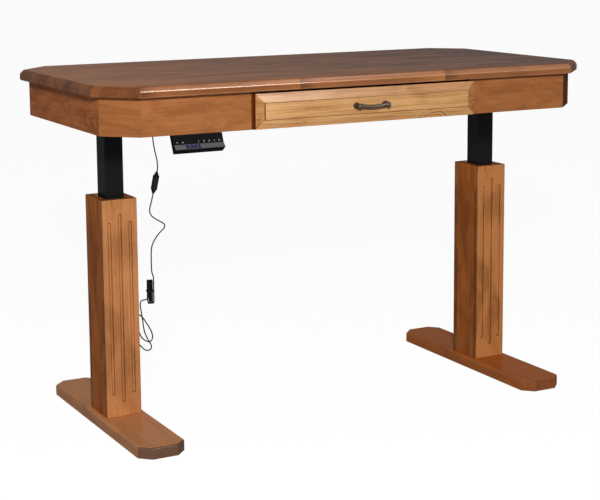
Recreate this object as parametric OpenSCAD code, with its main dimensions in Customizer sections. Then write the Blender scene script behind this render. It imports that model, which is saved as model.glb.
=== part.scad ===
// A sit-stand desk. Origin on the floor under the middle of the whole desk, +Z up, front towards -Y.
// It is drawn at the height that it is photographed at; the columns are partly raised there.

/* [Desktop] */
// Width of the desktop
top_w = 1524; // [1300:2:1800]
// Depth of the desktop
top_d = 762; // [720:2:900]
// Thickness of the desktop
top_t = 30; // [24:1:45]
// Length cut off each side at a clipped corner
top_clip = 95; // [60:1:110]
// Chamfer along the desktop's top edge
top_chamfer = 11; // [3:0.5:16]
// Height of the desktop's top face above the floor
desk_h = 972; // [935:1:1080]

/* [Apron] */
// Height of the apron boards
apron_h = 100; // [96:1:125]
// Thickness of the apron boards
apron_t = 19; // [15:1:24]
// How far the desktop reaches past the apron
overhang = 24; // [10:1:40]

/* [Drawer front] */
// Width of the drawer front
front_w = 682; // [560:1:760]
// Thickness of the drawer front at its raised field
front_t = 16; // [14:0.5:22]
// Gap between the drawer front and the desktop above it
front_top_gap = 6; // [3:0.5:10]
// Overlap of the drawer front on each apron panel
front_lap = 12; // [6:1:18]
// Gap between the shut drawer front and the apron
shut_gap = 0.5; // [0.3:0.1:1]
// Width of the bevel round the raised field
bevel_w = 25; // [14:1:30]
// Drop of the bevel at the front's edge
bevel_drop = 6; // [3:0.5:7]
// Step between the field and its bevel
field_step = 3; // [0.8:0.1:4]

/* [Drawer box] */
// Gap between the drawer box and the front cross rail
box_gap = 19.5; // [12:0.5:60]
// Height of the drawer box
box_h = 70; // [56:1:74]
// Height of the box above the apron's bottom edge
box_lift = 14; // [8:1:18]
// Thickness of the box's boards
box_t = 12; // [10:0.5:15]
// Thickness of the box's bottom panel
bottom_t = 6; // [4:0.5:8]
// Depth of the groove that holds the bottom panel
groove = 5; // [3:0.5:7]
// Height of the bottom panel's groove above the box's lower edge
groove_lift = 9; // [7:0.5:14]
// Thickness of the cheek boards that carry the slides
cheek_t = 16; // [12:0.5:19]
// Height of the cheek boards
cheek_h = 88; // [84:1:94]
// Gap between the cheek boards and the front cross rail
cheek_gap = 8; // [4:0.5:14]

/* [Drawer slides] */
// Room that one slide takes beside the box
slide_t = 12.7; // [12:0.1:14]
// Height of the slide's cabinet member
slide_h = 35; // [30:1:45]
// How much shorter the slides are than the drawer box
slide_short = 18; // [12:1:50]
// Thickness of the slide's steel
slide_steel = 1.2; // [1:0.1:1.5]
// Reach of the slide members' flanges from the cheek
slide_flange = 10; // [8:0.2:11]
// Set-back of the slide's front end behind the apron face
slide_set = 4; // [2:1:12]

/* [Pull] */
// Distance between the pull's posts
pull_centres = 88.9; // [64:0.1:160]
// How far the pull stands off the drawer front
pull_reach = 25.5; // [22:0.5:34]
// Diameter of the ball at each end of the pull
pull_ball = 15.5; // [10:0.5:18]
// Diameter of the pull's bar
pull_bar = 10; // [5:0.5:12]
// How far the bar hangs below its ends
pull_sag = 6; // [3:0.5:12]
// Diameter of the rosettes under the posts
rosette_d = 18; // [10:0.5:22]
// Thickness of the rosettes
rosette_t = 2.5; // [1.5:0.5:4]
// Diameter of the posts at their waist
post_d = 10; // [5:0.5:12]
// Height of the cone between a rosette and its post
cone_h = 3; // [2:0.5:5]

/* [Leg sleeves] */
// Distance of a leg's centre from the desktop's end
leg_in = 152.5; // [125:0.5:170]
// Width of a sleeve from side to side
sleeve_w = 101; // [100:1:120]
// Depth of a sleeve from front to back
sleeve_d = 126; // [116:1:150]
// Height of a sleeve
sleeve_h = 606; // [560:1:612]
// Thickness of the sleeve boards
board_t = 19; // [16:0.5:19.5]
// Width of a flute
flute_w = 10; // [6:0.5:14]
// Depth of a flute
flute_deep = 4; // [1.5:0.1:5]
// Distance between flutes
flute_pitch = 30; // [20:1:34]
// Plain length at each end of the middle flute
flute_end = 40; // [30:1:80]
// Further plain length at each end of the outer flutes
flute_stagger = 22; // [0:1:40]

/* [Feet] */
// Width of a foot
foot_w = 133; // [125:1:160]
// Length of a foot
foot_l = 700; // [600:1:760]
// Thickness of a foot
foot_t = 32; // [28:1:45]
// Length cut off each side at a foot's corner
foot_clip = 30; // [15:1:40]
// Chamfer along the foot's top edge
foot_chamfer = 4; // [2:0.5:8]
// Diameter of a levelling glide
glide_d = 24; // [18:1:32]
// Height of a levelling glide below the foot
glide_h = 2; // [1.5:0.5:5]
// Diameter of a glide's stem
glide_stem = 8; // [6:1:10]
// Length of a glide's stem
glide_stem_l = 18; // [12:1:22]
// Distance of the glides from the foot's long edges
glide_in = 26; // [20:1:36]
// Distance of the glides from the foot's ends
glide_end = 50; // [40:1:90]

/* [Columns] */
// Width of the outer tube
outer_w = 60; // [58.5:0.5:61]
// Depth of the outer tube
outer_d = 72; // [70.5:0.5:76]
// Wall of the outer tube
outer_wall = 2; // [1.5:0.1:2.2]
// How far the outer tube stops below the sleeve's top
outer_set = 12; // [8:1:20]
// Thickness of the plate at the foot of the outer tube
plate_t = 8; // [6:0.5:12]
// Width of the upper tube
inner_w = 53; // [50:0.5:53]
// Depth of the upper tube
inner_d = 65; // [62:0.5:65]
// Wall of the upper tube
inner_wall = 1.5; // [1.2:0.1:2]
// Height of the upper tube's lower end above the floor
inner_z = 235; // [230:1:255]
// Outside radius of the tubes' corners
tube_r = 4; // [3:0.5:6]
// Height of the guide collar above the outer tube
collar_lip = 4; // [2:0.5:6]
// Depth of the guide collar inside the outer tube
collar_skirt = 32; // [20:1:45]
// Height of the slide shoe on the upper tube
shoe_h = 30; // [20:1:45]
// Diameter of the lead screw
screw_d = 16; // [14:0.5:18]
// Diameter of the nut tube
nut_tube_d = 28; // [26:0.5:32]
// Bore of the nut tube below the nut
nut_tube_bore = 23; // [22:0.5:24.5]
// Length of the nut at the top of the nut tube
nut_l = 30; // [20:1:40]
// Height of the nut's top face above the floor
nut_z = 566; // [545:1:600]
// Diameter of the end stop on the lead screw
stop_d = 21; // [19:0.5:21.5]
// Length of the end stop on the lead screw
stop_l = 6; // [4:0.5:10]

/* [Column bolts] */
// Diameter of the column bolts
bolt_d = 8; // [6:0.5:10]
// Diameter of the column bolts' heads
bolt_head = 13; // [11:0.5:15]
// Height of the column bolts' heads
bolt_head_h = 8; // [6:0.5:9]
// Depth of the counterbore in the foot
bolt_sink = 12; // [9:0.5:14]
// Distance between the bolts from side to side
bolt_x = 34; // [30:1:40]
// Distance between the bolts from front to back
bolt_y = 46; // [38:1:50]

/* [Lifting frame] */
// Length of the top brackets
bracket_l = 560; // [460:1:620]
// Width of the top brackets
bracket_w = 90; // [88:1:100]
// Thickness of the top brackets' steel
bracket_t = 4; // [3:0.5:5]
// Height of the top brackets' flanges
bracket_flange = 36; // [34:1:44]
// Height of a bracket flange at its ends
bracket_tip = 12; // [8:1:20]
// Room round the motor in the bracket's inner flange
motor_room = 5; // [3:0.5:8]
// Width of the gear housing
gear_w = 80; // [74:1:81]
// Depth of the gear housing
gear_d = 74; // [70:1:84]
// Height of the gear housing
gear_h = 72; // [60:1:78]
// Diameter of the motor
motor_d = 45; // [38:1:50]
// Length of the motor beside the gear housing
motor_l = 92; // [70:1:120]
// Width of a cross rail
rail_w = 20; // [15:1:25]
// Height of a cross rail
rail_h = 34; // [28:1:34]
// Clear distance between the two cross rails
rail_gap = 58; // [54:1:64]
// Wall of the cross rails
rail_wall = 1.5; // [1.2:0.1:2.5]
// Diameter of the bracket screws
wood_screw = 5; // [4:0.5:6]
// Length of the bracket screws below their heads
wood_screw_l = 22; // [16:1:24]
// Diameter of the bracket screws' heads
wood_screw_head = 10; // [8:0.5:12]
// Height of the bracket screws' heads
wood_screw_head_h = 3; // [2:0.5:4]
// Distance between the bracket screws from side to side
bracket_hole_x = 56; // [40:1:60]
// Distance between the bracket screws from front to back
bracket_hole_y = 480; // [300:1:500]

/* [Control box] */
// Length of the control box
ctrl_l = 240; // [180:1:260]
// Depth of the control box
ctrl_d = 90; // [70:1:120]
// Height of the control box
ctrl_h = 38; // [30:1:42]
// Gap between the control box and the rear rail
ctrl_gap = 10; // [6:1:30]
// Gap between the control box and the left bracket
ctrl_side_gap = 20; // [10:1:40]
// Chamfer round the control box's underside
ctrl_edge = 4; // [2:0.5:6]
// Distance between the sockets in the control box's end
socket_pitch = 18; // [16:1:24]
// Width of a socket
socket_w = 12; // [10:0.5:14]
// Depth of a socket
socket_deep = 3; // [2:0.5:8]
// Length of the gland that the supply lead leaves by
gland_l = 22; // [20:1:30]
// Diameter of the gland at the control box
gland_d = 11; // [9:0.5:14]
// Distance of the gland from the control box's left end
gland_x = 74.5; // [40:0.5:90]
// Distance of the gland from the control box's back
gland_y = 11; // [8:0.5:20]

/* [Handset] */
// Width of the handset
hand_w = 138; // [130:1:160]
// Distance of the handset's middle from the left leg's centre
hand_in = 106.5; // [100:0.5:130]
// Height of the handset's key face
face_h = 24; // [20:1:28]
// Forward lean of the key face over its height
face_run = 10; // [4:1:14]
// Depth of the display ledge
ledge_run = 11; // [10:1:18]
// Drop of the display ledge
ledge_drop = 11; // [9:1:14]
// Height of the bevel below the ledge
lip_h = 13; // [8:1:16]
// Backward run of the bevel below the ledge
lip_run = 18; // [12:1:22]
// Width of a key
key_w = 10; // [8:0.5:11]
// Height of a key
key_h = 7; // [5:0.5:9]
// Corner radius of a key
key_r = 2; // [1:0.5:3]
// How far a key stands out of the face
key_out = 1.4; // [1.1:0.1:2]
// Length of a key inside the face
key_in = 3.6; // [3:0.2:5]
// Free depth below a key
key_room = 1.4; // [1.1:0.1:2]
// Height of the keys' middle above the face's lower edge
key_lift = 5.5; // [5:0.5:8]
// Distance between the number keys
key_pitch = 14.5; // [12:0.5:16]
// Distance between the up key and the down key
arrow_pitch = 16; // [12:0.5:18]
// Distance of the first number key left of the handset's middle
number_x = 1; // [-6:0.5:4]
// Distance of the up key left of the handset's middle
arrow_x = 60; // [50:0.5:60]
// Width of the display window
display_w = 40; // [30:1:44]
// Height of the display window along the ledge
display_h = 12; // [8:0.5:13]
// Thickness of the display window
display_t = 1.6; // [1:0.2:2.4]
// Distance of the display's middle left of the handset's middle
display_x = 18; // [10:1:24]

/* [Supply lead] */
// Diameter of the supply lead
cord_d = 3.5; // [3:0.1:4]
// Diameter of the inline connector
conn_d = 18; // [14:0.5:20]
// Length of the inline connector's body
conn_l = 38; // [30:1:44]
// Width of the plug's body
plug_w = 22; // [18:1:26]
// Thickness of the plug's body
plug_t = 15; // [12:1:18]
// Height of the plug's body
plug_h = 28; // [22:1:32]
// Corner radius of the plug's body
plug_r = 5; // [3:0.5:6]
// Length of the plug's blades
blade_l = 16; // [14:1:18]
// Width of the plug's blades
blade_w = 6.4; // [5:0.1:7]
// Thickness of the plug's blades
blade_t = 1.5; // [1.2:0.1:2]
// Distance between the plug's blades
blade_gap = 12.7; // [12:0.1:14]
// Wall of the strain reliefs where the lead leaves them
relief_wall = 1.25; // [1:0.05:1.75]
// Length of the plug's strain relief
relief_l = 12; // [8:1:18]

/* [Hidden] */
$fn = 48;

// Clearances round a sliding piece, a shaft and a fixed piece, and the room beyond the end of a screw or stem
run_gap = 0.3;
shaft_gap = 0.05;
fit_gap = 0.1;
end_room = 1;
eps = 0.5;

// Heights
foot_top = glide_h + foot_t;
sleeve_top = foot_top + sleeve_h;
plate_top = foot_top + plate_t;
outer_top = sleeve_top - outer_set;
under = desk_h - top_t;
apron_z = under - apron_h;
gear_top = under - bracket_t;
gear_z = gear_top - gear_h;
rail_top = gear_top;
box_z = apron_z + box_lift;

// Places in plan
leg_x = top_w / 2 - leg_in;
hand_x = leg_x - hand_in;
front_reach = top_d / 2 - overhang + shut_gap + front_t + pull_reach;
desk_y = (front_reach - top_d / 2) / 2;
apron_front = desk_y - top_d / 2 + overhang;
front_back = apron_front - shut_gap;
front_face = front_back - front_t;
open_w = front_w - 2 * front_lap;
box_w = open_w - 2 * slide_t;
rail_y = rail_gap / 2;
box_d = -rail_y - rail_w - box_gap - front_back;
slide_l = box_d - slide_short;
flange_x = bracket_w / 2;
front_h = apron_h - front_top_gap;

// A rectangle with its four corners cut off, drawn in by an inset all round
function clipped(w, d, clip, inset = 0) =
  let (hw = w / 2 - inset, hd = d / 2 - inset, c = clip - inset * (2 - sqrt(2)))
  [[c - hw, -hd], [hw - c, -hd], [hw, c - hd], [hw, hd - c],
   [hw - c, hd], [c - hw, hd], [-hw, hd - c], [-hw, c - hd]];

// A clipped board with a chamfer round its top edge
module clipped_slab(w, d, t, clip, chamfer) {
  hull() {
    linear_extrude(t - chamfer) polygon(clipped(w, d, clip));
    linear_extrude(t) polygon(clipped(w, d, clip, chamfer));
  }
}

// A rectangle with round corners, centred
module rounded(w, d, r) {
  square([w - 2 * r, d], center = true);
  square([w, d - 2 * r], center = true);
  for (x = [-1, 1], y = [-1, 1]) translate([x * (w / 2 - r), y * (d / 2 - r)]) circle(r);
}

// A box given by its lowest corner and its highest corner
module block(a, b) {
  translate(a) cube(b - a);
}

// Places a piece drawn round the left leg's axis, with +X towards the desk's middle, at either leg
module at_leg(side) {
  translate([side * leg_x, 0, 0]) mirror([side > 0 ? 1 : 0, 0, 0]) children();
}

// Copies a piece to the four corners of a rectangle
module corners(x, y) {
  for (i = [-1, 1], j = [-1, 1]) translate([i * x / 2, j * y / 2, 0]) children();
}

// Feet
module foot(side) {
  color("#a5673c") at_leg(side) difference() {
    translate([0, 0, glide_h]) clipped_slab(foot_w, foot_l, foot_t, foot_clip, foot_chamfer);
    corners(bolt_x, bolt_y) {
      translate([0, 0, glide_h - eps]) cylinder(d = bolt_head + 2 * end_room, h = bolt_sink + eps);
      translate([0, 0, glide_h]) cylinder(d = bolt_d + 2 * fit_gap, h = foot_t + eps);
    }
    corners(foot_w - 2 * glide_in, foot_l - 2 * glide_end) translate([0, 0, glide_h - eps])
      cylinder(d = glide_stem + 2 * fit_gap, h = glide_stem_l + end_room + eps);
  }
}

module glides(side) {
  color("#2b2b2b") at_leg(side) corners(foot_w - 2 * glide_in, foot_l - 2 * glide_end) {
    cylinder(d = glide_d, h = glide_h);
    cylinder(d = glide_stem, h = glide_h + glide_stem_l);
  }
}

module foot_bolts(side) {
  socket_d = 0.8 * bolt_d;
  color("#9a9a9a") at_leg(side) corners(bolt_x, bolt_y)
    translate([0, 0, glide_h + bolt_sink - bolt_head_h]) difference() {
      union() {
        cylinder(d = bolt_head, h = bolt_head_h);
        cylinder(d = bolt_d, h = plate_top - end_room - glide_h - bolt_sink + bolt_head_h);
      }
      translate([0, 0, -eps]) cylinder(d = socket_d, h = bolt_head_h / 2 + eps, $fn = 6);
    }
}

// Columns
module outer_tube(side) {
  color("#1c1c1c") at_leg(side) difference() {
    translate([0, 0, foot_top]) linear_extrude(outer_top - foot_top) rounded(outer_w, outer_d, tube_r);
    translate([0, 0, plate_top]) linear_extrude(outer_top)
      rounded(outer_w - 2 * outer_wall, outer_d - 2 * outer_wall, tube_r - outer_wall);
    corners(bolt_x, bolt_y) translate([0, 0, foot_top - eps])
      cylinder(d = bolt_d + 2 * fit_gap, h = plate_t + 2 * eps);
  }
}

module collar(side) {
  hole_w = inner_w + 2 * run_gap;
  hole_d = inner_d + 2 * run_gap;
  color("#151515") at_leg(side) difference() {
    union() {
      translate([0, 0, outer_top]) linear_extrude(collar_lip) rounded(outer_w, outer_d, tube_r);
      translate([0, 0, outer_top - collar_skirt]) linear_extrude(collar_skirt + eps)
        rounded(outer_w - 2 * outer_wall - fit_gap, outer_d - 2 * outer_wall - fit_gap, tube_r - outer_wall);
    }
    translate([0, 0, outer_top - collar_skirt - eps]) linear_extrude(collar_skirt + collar_lip + 2 * eps)
      rounded(hole_w, hole_d, tube_r);
  }
}

module nut_tube(side) {
  color("#8d8f91") at_leg(side) difference() {
    translate([0, 0, plate_top]) cylinder(d = nut_tube_d, h = nut_z - plate_top);
    translate([0, 0, plate_top - eps]) cylinder(d = nut_tube_bore, h = nut_z - nut_l - plate_top + eps);
    translate([0, 0, nut_z - nut_l - eps]) cylinder(d = screw_d + 2 * shaft_gap, h = nut_l + 2 * eps);
  }
}

module inner_tube(side) {
  shoe_w = outer_w - 2 * outer_wall - 2 * run_gap;
  shoe_d = outer_d - 2 * outer_wall - 2 * run_gap;
  color("#1c1c1c") at_leg(side) {
    translate([0, 0, inner_z]) linear_extrude(gear_z - inner_z) difference() {
      rounded(inner_w, inner_d, tube_r);
      rounded(inner_w - 2 * inner_wall, inner_d - 2 * inner_wall, tube_r - inner_wall);
    }
    translate([0, 0, inner_z]) linear_extrude(shoe_h) difference() {
      rounded(shoe_w, shoe_d, tube_r - outer_wall);
      rounded(inner_w, inner_d, tube_r);
    }
  }
}

module lead_screw(side) {
  low = inner_z + end_room;
  color("#b5b7b8") at_leg(side) {
    translate([0, 0, low]) cylinder(d = screw_d, h = gear_z + gear_h / 2 - run_gap - low);
    translate([0, 0, low]) cylinder(d = stop_d, h = stop_l);
  }
}

module drive(side) {
  motor_z = gear_z + gear_h / 2;
  gear_r = 8;
  flange_l = 8;
  flange_lip = 3;
  cap_l = 8;
  cap_set = 5;
  color("#222222") at_leg(side) difference() {
    union() {
      translate([0, 0, gear_z]) linear_extrude(gear_h) rounded(gear_w, gear_d, gear_r);
      translate([gear_w / 2 - eps, 0, motor_z]) rotate([0, 90, 0]) {
        cylinder(d = motor_d + 2 * flange_lip, h = flange_l + eps);
        cylinder(d = motor_d, h = motor_l - cap_l + eps);
        cylinder(d = motor_d - 2 * cap_set, h = motor_l + eps);
      }
    }
    translate([0, 0, gear_z - eps]) cylinder(d = screw_d + 2 * shaft_gap, h = gear_h / 2 + eps);
  }
}

// Sleeves
module flute(z0, z1) {
  r = (flute_w * flute_w / 4 + flute_deep * flute_deep) / (2 * flute_deep);
  translate([0, flute_deep - r, z0 + r]) cylinder(r = r, h = z1 - z0 - 2 * r);
  for (z = [z0 + r, z1 - r]) translate([0, flute_deep - r, z]) sphere(r);
}

module sleeve_front(side) {
  color("#a5673c") at_leg(side) difference() {
    block([-sleeve_w / 2, -sleeve_d / 2, foot_top], [sleeve_w / 2, board_t - sleeve_d / 2, sleeve_top]);
    for (i = [-1, 0, 1]) {
      in = flute_end + abs(i) * flute_stagger;
      translate([i * flute_pitch, -sleeve_d / 2, 0]) flute(foot_top + in, sleeve_top - in);
    }
  }
}

module sleeve_back(side) {
  color("#a5673c") at_leg(side)
    block([-sleeve_w / 2, sleeve_d / 2 - board_t, foot_top], [sleeve_w / 2, sleeve_d / 2, sleeve_top]);
}

module sleeve_sides(side) {
  y = sleeve_d / 2 - board_t;
  color("#8a5530") at_leg(side) for (i = [0, 1]) mirror([i, 0, 0])
    block([sleeve_w / 2 - board_t, -y, foot_top], [sleeve_w / 2, y, sleeve_top]);
}

// Lifting frame under the desktop
module bracket(side) {
  mid = motor_d / 2 + motor_room;
  color("#1f1f1f") at_leg(side) difference() {
    union() {
      block([-flange_x, -bracket_l / 2, gear_top], [flange_x, bracket_l / 2, under]);
      for (x = [-flange_x, flange_x - bracket_t / 2]) translate([x, 0, under]) rotate([90, 0, 90])
        linear_extrude(bracket_t / 2) polygon([[-bracket_l / 2, 0], [-bracket_l / 2, -bracket_tip],
          [-bracket_l / 4, -bracket_flange], [bracket_l / 4, -bracket_flange],
          [bracket_l / 2, -bracket_tip], [bracket_l / 2, 0]]);
    }
    block([gear_w / 2 + eps, -mid, under - bracket_flange - eps], [flange_x + eps, mid, gear_top]);
    corners(bracket_hole_x, bracket_hole_y)
      translate([0, 0, gear_top - eps]) cylinder(d = wood_screw + 2 * fit_gap, h = bracket_t + 2 * eps);
  }
}

module bracket_screws() {
  color("#b0b0b0") for (side = [-1, 1]) at_leg(side) corners(bracket_hole_x, bracket_hole_y)
    translate([0, 0, gear_top - wood_screw_head_h]) {
      cylinder(d = wood_screw_head, h = wood_screw_head_h);
      cylinder(d = wood_screw, h = wood_screw_l + wood_screw_head_h);
    }
}

module cross_rails() {
  x = leg_x - flange_x;
  color("#1f1f1f") for (i = [0, 1]) mirror([0, i, 0]) difference() {
    block([-x, rail_y, rail_top - rail_h], [x, rail_y + rail_w, rail_top]);
    block([-x - eps, rail_y + rail_wall, rail_top - rail_h + rail_wall],
      [x + eps, rail_y + rail_w - rail_wall, rail_top - rail_wall]);
  }
}

module desktop() {
  color("#8f5f3c") difference() {
    translate([0, desk_y, under]) clipped_slab(top_w, top_d, top_t, top_clip, top_chamfer);
    for (side = [-1, 1]) at_leg(side) corners(bracket_hole_x, bracket_hole_y) translate([0, 0, under - eps])
      cylinder(d = wood_screw + 2 * fit_gap, h = wood_screw_l - bracket_t + end_room + eps);
  }
}

// Apron
apron_out = clipped(top_w, top_d, top_clip, overhang);
apron_in = clipped(top_w, top_d, top_clip, overhang + apron_t);

module apron_plan(points) {
  translate([0, desk_y, apron_z]) linear_extrude(apron_h) polygon(points);
}

module apron_board(i) {
  j = (i + 1) % 8;
  apron_plan([apron_out[i], apron_out[j], apron_in[j], apron_in[i]]);
}

module apron_front(side) {
  x = -open_w / 2;
  color("#b0713f") mirror([side > 0 ? 1 : 0, 0, 0])
    apron_plan([apron_out[0], [x, apron_out[0][1]], [x, apron_in[0][1]], apron_in[0]]);
}

module apron_corners() {
  color("#7d4c2b") for (i = [1, 3, 5, 7]) apron_board(i);
}

// Drawer
module drawer_front() {
  back = front_t - bevel_drop - field_step;
  w = front_w / 2;
  h = front_h / 2;
  color("#c98f58") translate([0, front_back, apron_z + h]) rotate([90, 0, 0]) {
    linear_extrude(back) square([front_w, front_h], center = true);
    hull() {
      linear_extrude(back) square([front_w, front_h], center = true);
      linear_extrude(front_t - field_step) square(2 * [w - bevel_w, h - bevel_w], center = true);
    }
    linear_extrude(front_t) square(2 * [w - bevel_w, h - bevel_w], center = true);
  }
}

module drawer_sides() {
  x = box_w / 2;
  color("#d8b98a") for (i = [0, 1]) mirror([i, 0, 0]) difference() {
    block([x - box_t, front_back, box_z], [x, front_back + box_d, box_z + box_h]);
    block([x - box_t - eps, front_back - eps, box_z + groove_lift],
      [x - box_t + groove, front_back + box_d - box_t + groove, box_z + groove_lift + bottom_t]);
  }
}

module drawer_back() {
  x = box_w / 2 - box_t;
  y = front_back + box_d - box_t;
  color("#d8b98a") difference() {
    block([-x, y, box_z], [x, y + box_t, box_z + box_h]);
    block([-x - eps, y - eps, box_z + groove_lift], [x + eps, y + groove, box_z + groove_lift + bottom_t]);
  }
}

module drawer_bottom() {
  x = box_w / 2 - box_t + groove - fit_gap;
  z = box_z + groove_lift + fit_gap;
  color("#e0c79c") block([-x, front_back, z],
    [x, front_back + box_d - box_t + groove - fit_gap, z + bottom_t - 2 * fit_gap]);
}

module drawer_cheeks() {
  color("#c9a878") for (i = [0, 1]) mirror([i, 0, 0])
    block([open_w / 2, apron_front + apron_t, under - cheek_h],
      [open_w / 2 + cheek_t, -rail_y - rail_w - cheek_gap, under]);
}

// One member of the right-hand slide: a channel whose web stands at x0 and whose flanges reach x1
module channel(x0, x1, h) {
  s = x1 > x0 ? 1 : -1;
  z = box_z + box_h / 2;
  y = apron_front + slide_set;
  translate([0, y, z]) rotate([-90, 0, 0]) linear_extrude(slide_l) difference() {
    polygon([[x0, -h / 2], [x1, -h / 2], [x1, h / 2], [x0, h / 2]]);
    polygon([[x0 + s * slide_steel, slide_steel - h / 2], [x1 + s * eps, slide_steel - h / 2],
      [x1 + s * eps, h / 2 - slide_steel], [x0 + s * slide_steel, h / 2 - slide_steel]]);
  }
}

step_in = slide_steel + run_gap;

module slide_cabinet_members() {
  x = open_w / 2;
  color("#b9bbbc") for (i = [0, 1]) mirror([i, 0, 0]) channel(x, x - slide_flange, slide_h);
}

module slide_middle_members() {
  x = open_w / 2 - step_in;
  color("#a9abad") for (i = [0, 1]) mirror([i, 0, 0])
    channel(x, open_w / 2 - slide_flange, slide_h - 2 * step_in);
}

module slide_drawer_members() {
  color("#b9bbbc") for (i = [0, 1]) mirror([i, 0, 0])
    channel(box_w / 2, open_w / 2 - 2 * step_in, slide_h - 4 * step_in);
}

module drawer_pull() {
  ball_y = pull_reach - pull_ball / 2;
  half = pull_centres / 2;
  bow_r = (half * half + pull_sag * pull_sag) / (2 * pull_sag);
  bow_a = 2 * asin(half / bow_r);
  color("#4a4038") translate([0, front_face, apron_z + front_h / 2]) rotate([90, 0, 0]) {
    for (x = [-half, half]) translate([x, 0, 0]) {
      cylinder(d = rosette_d, h = rosette_t);
      translate([0, 0, rosette_t]) cylinder(d1 = (rosette_d + post_d) / 2, d2 = post_d, h = cone_h);
      cylinder(d = post_d, h = ball_y);
      translate([0, 0, ball_y]) sphere(d = pull_ball);
    }
    translate([0, bow_r, ball_y]) rotate([0, 0, -90 - bow_a / 2])
      rotate_extrude(angle = bow_a, $fn = 120) translate([bow_r + pull_sag / 2, 0]) circle(d = pull_bar);
  }
}

// Handset. The key face leans forward from the apron's lower front edge, and the display is on a ledge below.
face_y = apron_front - face_run;
face_z = apron_z - face_h;
face_lean = atan(face_run / face_h);
ledge_lean = atan(ledge_drop / ledge_run);

module hand_profile() {
  polygon([[apron_front, apron_z], [face_y, face_z], [face_y - ledge_run, face_z - ledge_drop],
    [face_y - ledge_run + lip_run, face_z - ledge_drop - lip_h], [apron_front + apron_t, apron_z]]);
}

// Places a piece drawn on the plane y = 0 and facing -Y on the key face, at x left of the handset's middle
module on_face(x, up) {
  translate([-hand_x - x, face_y, face_z]) rotate([-face_lean, 0, 0]) translate([0, 0, up]) children();
}

module on_ledge(x) {
  translate([-hand_x - x, face_y - ledge_run / 2, face_z - ledge_drop / 2])
    rotate([ledge_lean, 0, 0]) children();
}

module key_shape(w, h, r, y0, y1) {
  translate([0, y1, 0]) rotate([90, 0, 0]) linear_extrude(y1 - y0) rounded(w, h, r);
}

key_places = [arrow_x, arrow_x - arrow_pitch, number_x, number_x - key_pitch, number_x - 2 * key_pitch,
  number_x - 3 * key_pitch, number_x - 4 * key_pitch];

module key(i) {
  color("#3a3a3a") on_face(key_places[i], key_lift) key_shape(key_w, key_h, key_r, -key_out, key_in);
}

module display_plate(gap, top) {
  block([-display_w / 2 - gap, -display_h / 2 - gap, -display_t],
    [display_w / 2 + gap, display_h / 2 + gap, top]);
}

module handset_display() {
  color("#26304a") on_ledge(display_x) display_plate(0, 0);
}

module handset_housing() {
  color("#17181a") difference() {
    translate([-hand_x - hand_w / 2, 0, 0]) rotate([90, 0, 90]) linear_extrude(hand_w) hand_profile();
    for (x = key_places) on_face(x, key_lift) key_shape(key_w + 2 * run_gap, key_h + 2 * run_gap,
      key_r + run_gap, -2 * key_out, key_in + key_room);
    on_ledge(display_x) display_plate(fit_gap, 2 * display_t);
  }
}

// Control box. Its motor and handset sockets are in its right end and its gland is in its underside.
ctrl_x = flange_x - leg_x + ctrl_side_gap;
ctrl_y = rail_y + rail_w + ctrl_gap;
gland = [ctrl_x + gland_x, ctrl_y + gland_y, under - ctrl_h - gland_l];

module control_box() {
  socket_z = under - ctrl_h / 2 - socket_w / 2;
  color("#202124") {
    difference() {
      hull() {
        block([ctrl_x + ctrl_edge, ctrl_y + ctrl_edge, under - ctrl_h],
          [ctrl_x + ctrl_l - ctrl_edge, ctrl_y + ctrl_d - ctrl_edge, under]);
        block([ctrl_x, ctrl_y, under - ctrl_h + ctrl_edge], [ctrl_x + ctrl_l, ctrl_y + ctrl_d, under]);
      }
      for (i = [-1.5:1.5]) translate([ctrl_x + ctrl_l, ctrl_y + ctrl_d / 2 + i * socket_pitch, socket_z])
        block([-socket_deep, -socket_w / 2, 0], [eps, socket_w / 2, socket_w]);
    }
    translate(gland) cylinder(d1 = cord_d + 2 * relief_wall, d2 = gland_d, h = gland_l + eps);
  }
}

// Supply lead. Its points are chosen by hand along the photographed route and counted from the gland's end.
function unit(v) = v / norm(v);
function tangents(p) = [for (i = [0:len(p) - 1])
  unit(i == 0 ? p[1] - p[0] : i == len(p) - 1 ? p[i] - p[i - 1] : p[i + 1] - p[i - 1])];
function square_to(n, t) = unit(n - (n * t) * t);
function normals(t, i, n) = i == len(t) ? [] : let (m = square_to(n, t[i])) concat([m], normals(t, i + 1, m));
function ring(c, t, n, r, sides) = let (b = cross(t, n))
  [for (k = [0:sides - 1]) c + r * (cos(360 * k / sides) * n + sin(360 * k / sides) * b)];

// A tube of one piece along a list of points
module tube(path, d, sides) {
  t = tangents(path);
  n = normals(t, 0, [0, 1, 0]);
  last = len(path) - 1;
  points = [for (i = [0:last]) each ring(path[i], t[i], n[i], d / 2, sides)];
  walls = [for (i = [0:last - 1], k = [0:sides - 1]) let (a = i * sides + k, b = i * sides + (k + 1) % sides)
    each [[a, b + sides, b], [a, a + sides, b + sides]]];
  z = last * sides;
  ends = [for (k = [1:sides - 2]) each [[0, k, k + 1], [z, z + k + 1, z + k]]];
  polyhedron(points, concat(walls, ends));
}

function run_sum(p, i = 1) = i == len(p) ? 0 : norm(p[i] - p[i - 1]) + run_sum(p, i + 1);

conn_top = [3, -58, -188];
conn_end = [-10, -58, -248];
conn_axis = unit(conn_end - conn_top);

// The tied hank: how it is turned about Z, the straight part and the bend radius of its loops,
// the step from loop to loop, and how far down its last run the lead leaves it
hank_mid = [-25, -58, -526];
hank_turn = -12;
hank_run = 45.5;
hank_fold = 10.5;
hank_pitch = 4.1;
hank_loops = 4;
hank_exit = 28;
across = [cos(hank_turn), sin(hank_turn), 0];
inward = [-sin(hank_turn), cos(hank_turn), 0];

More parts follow.
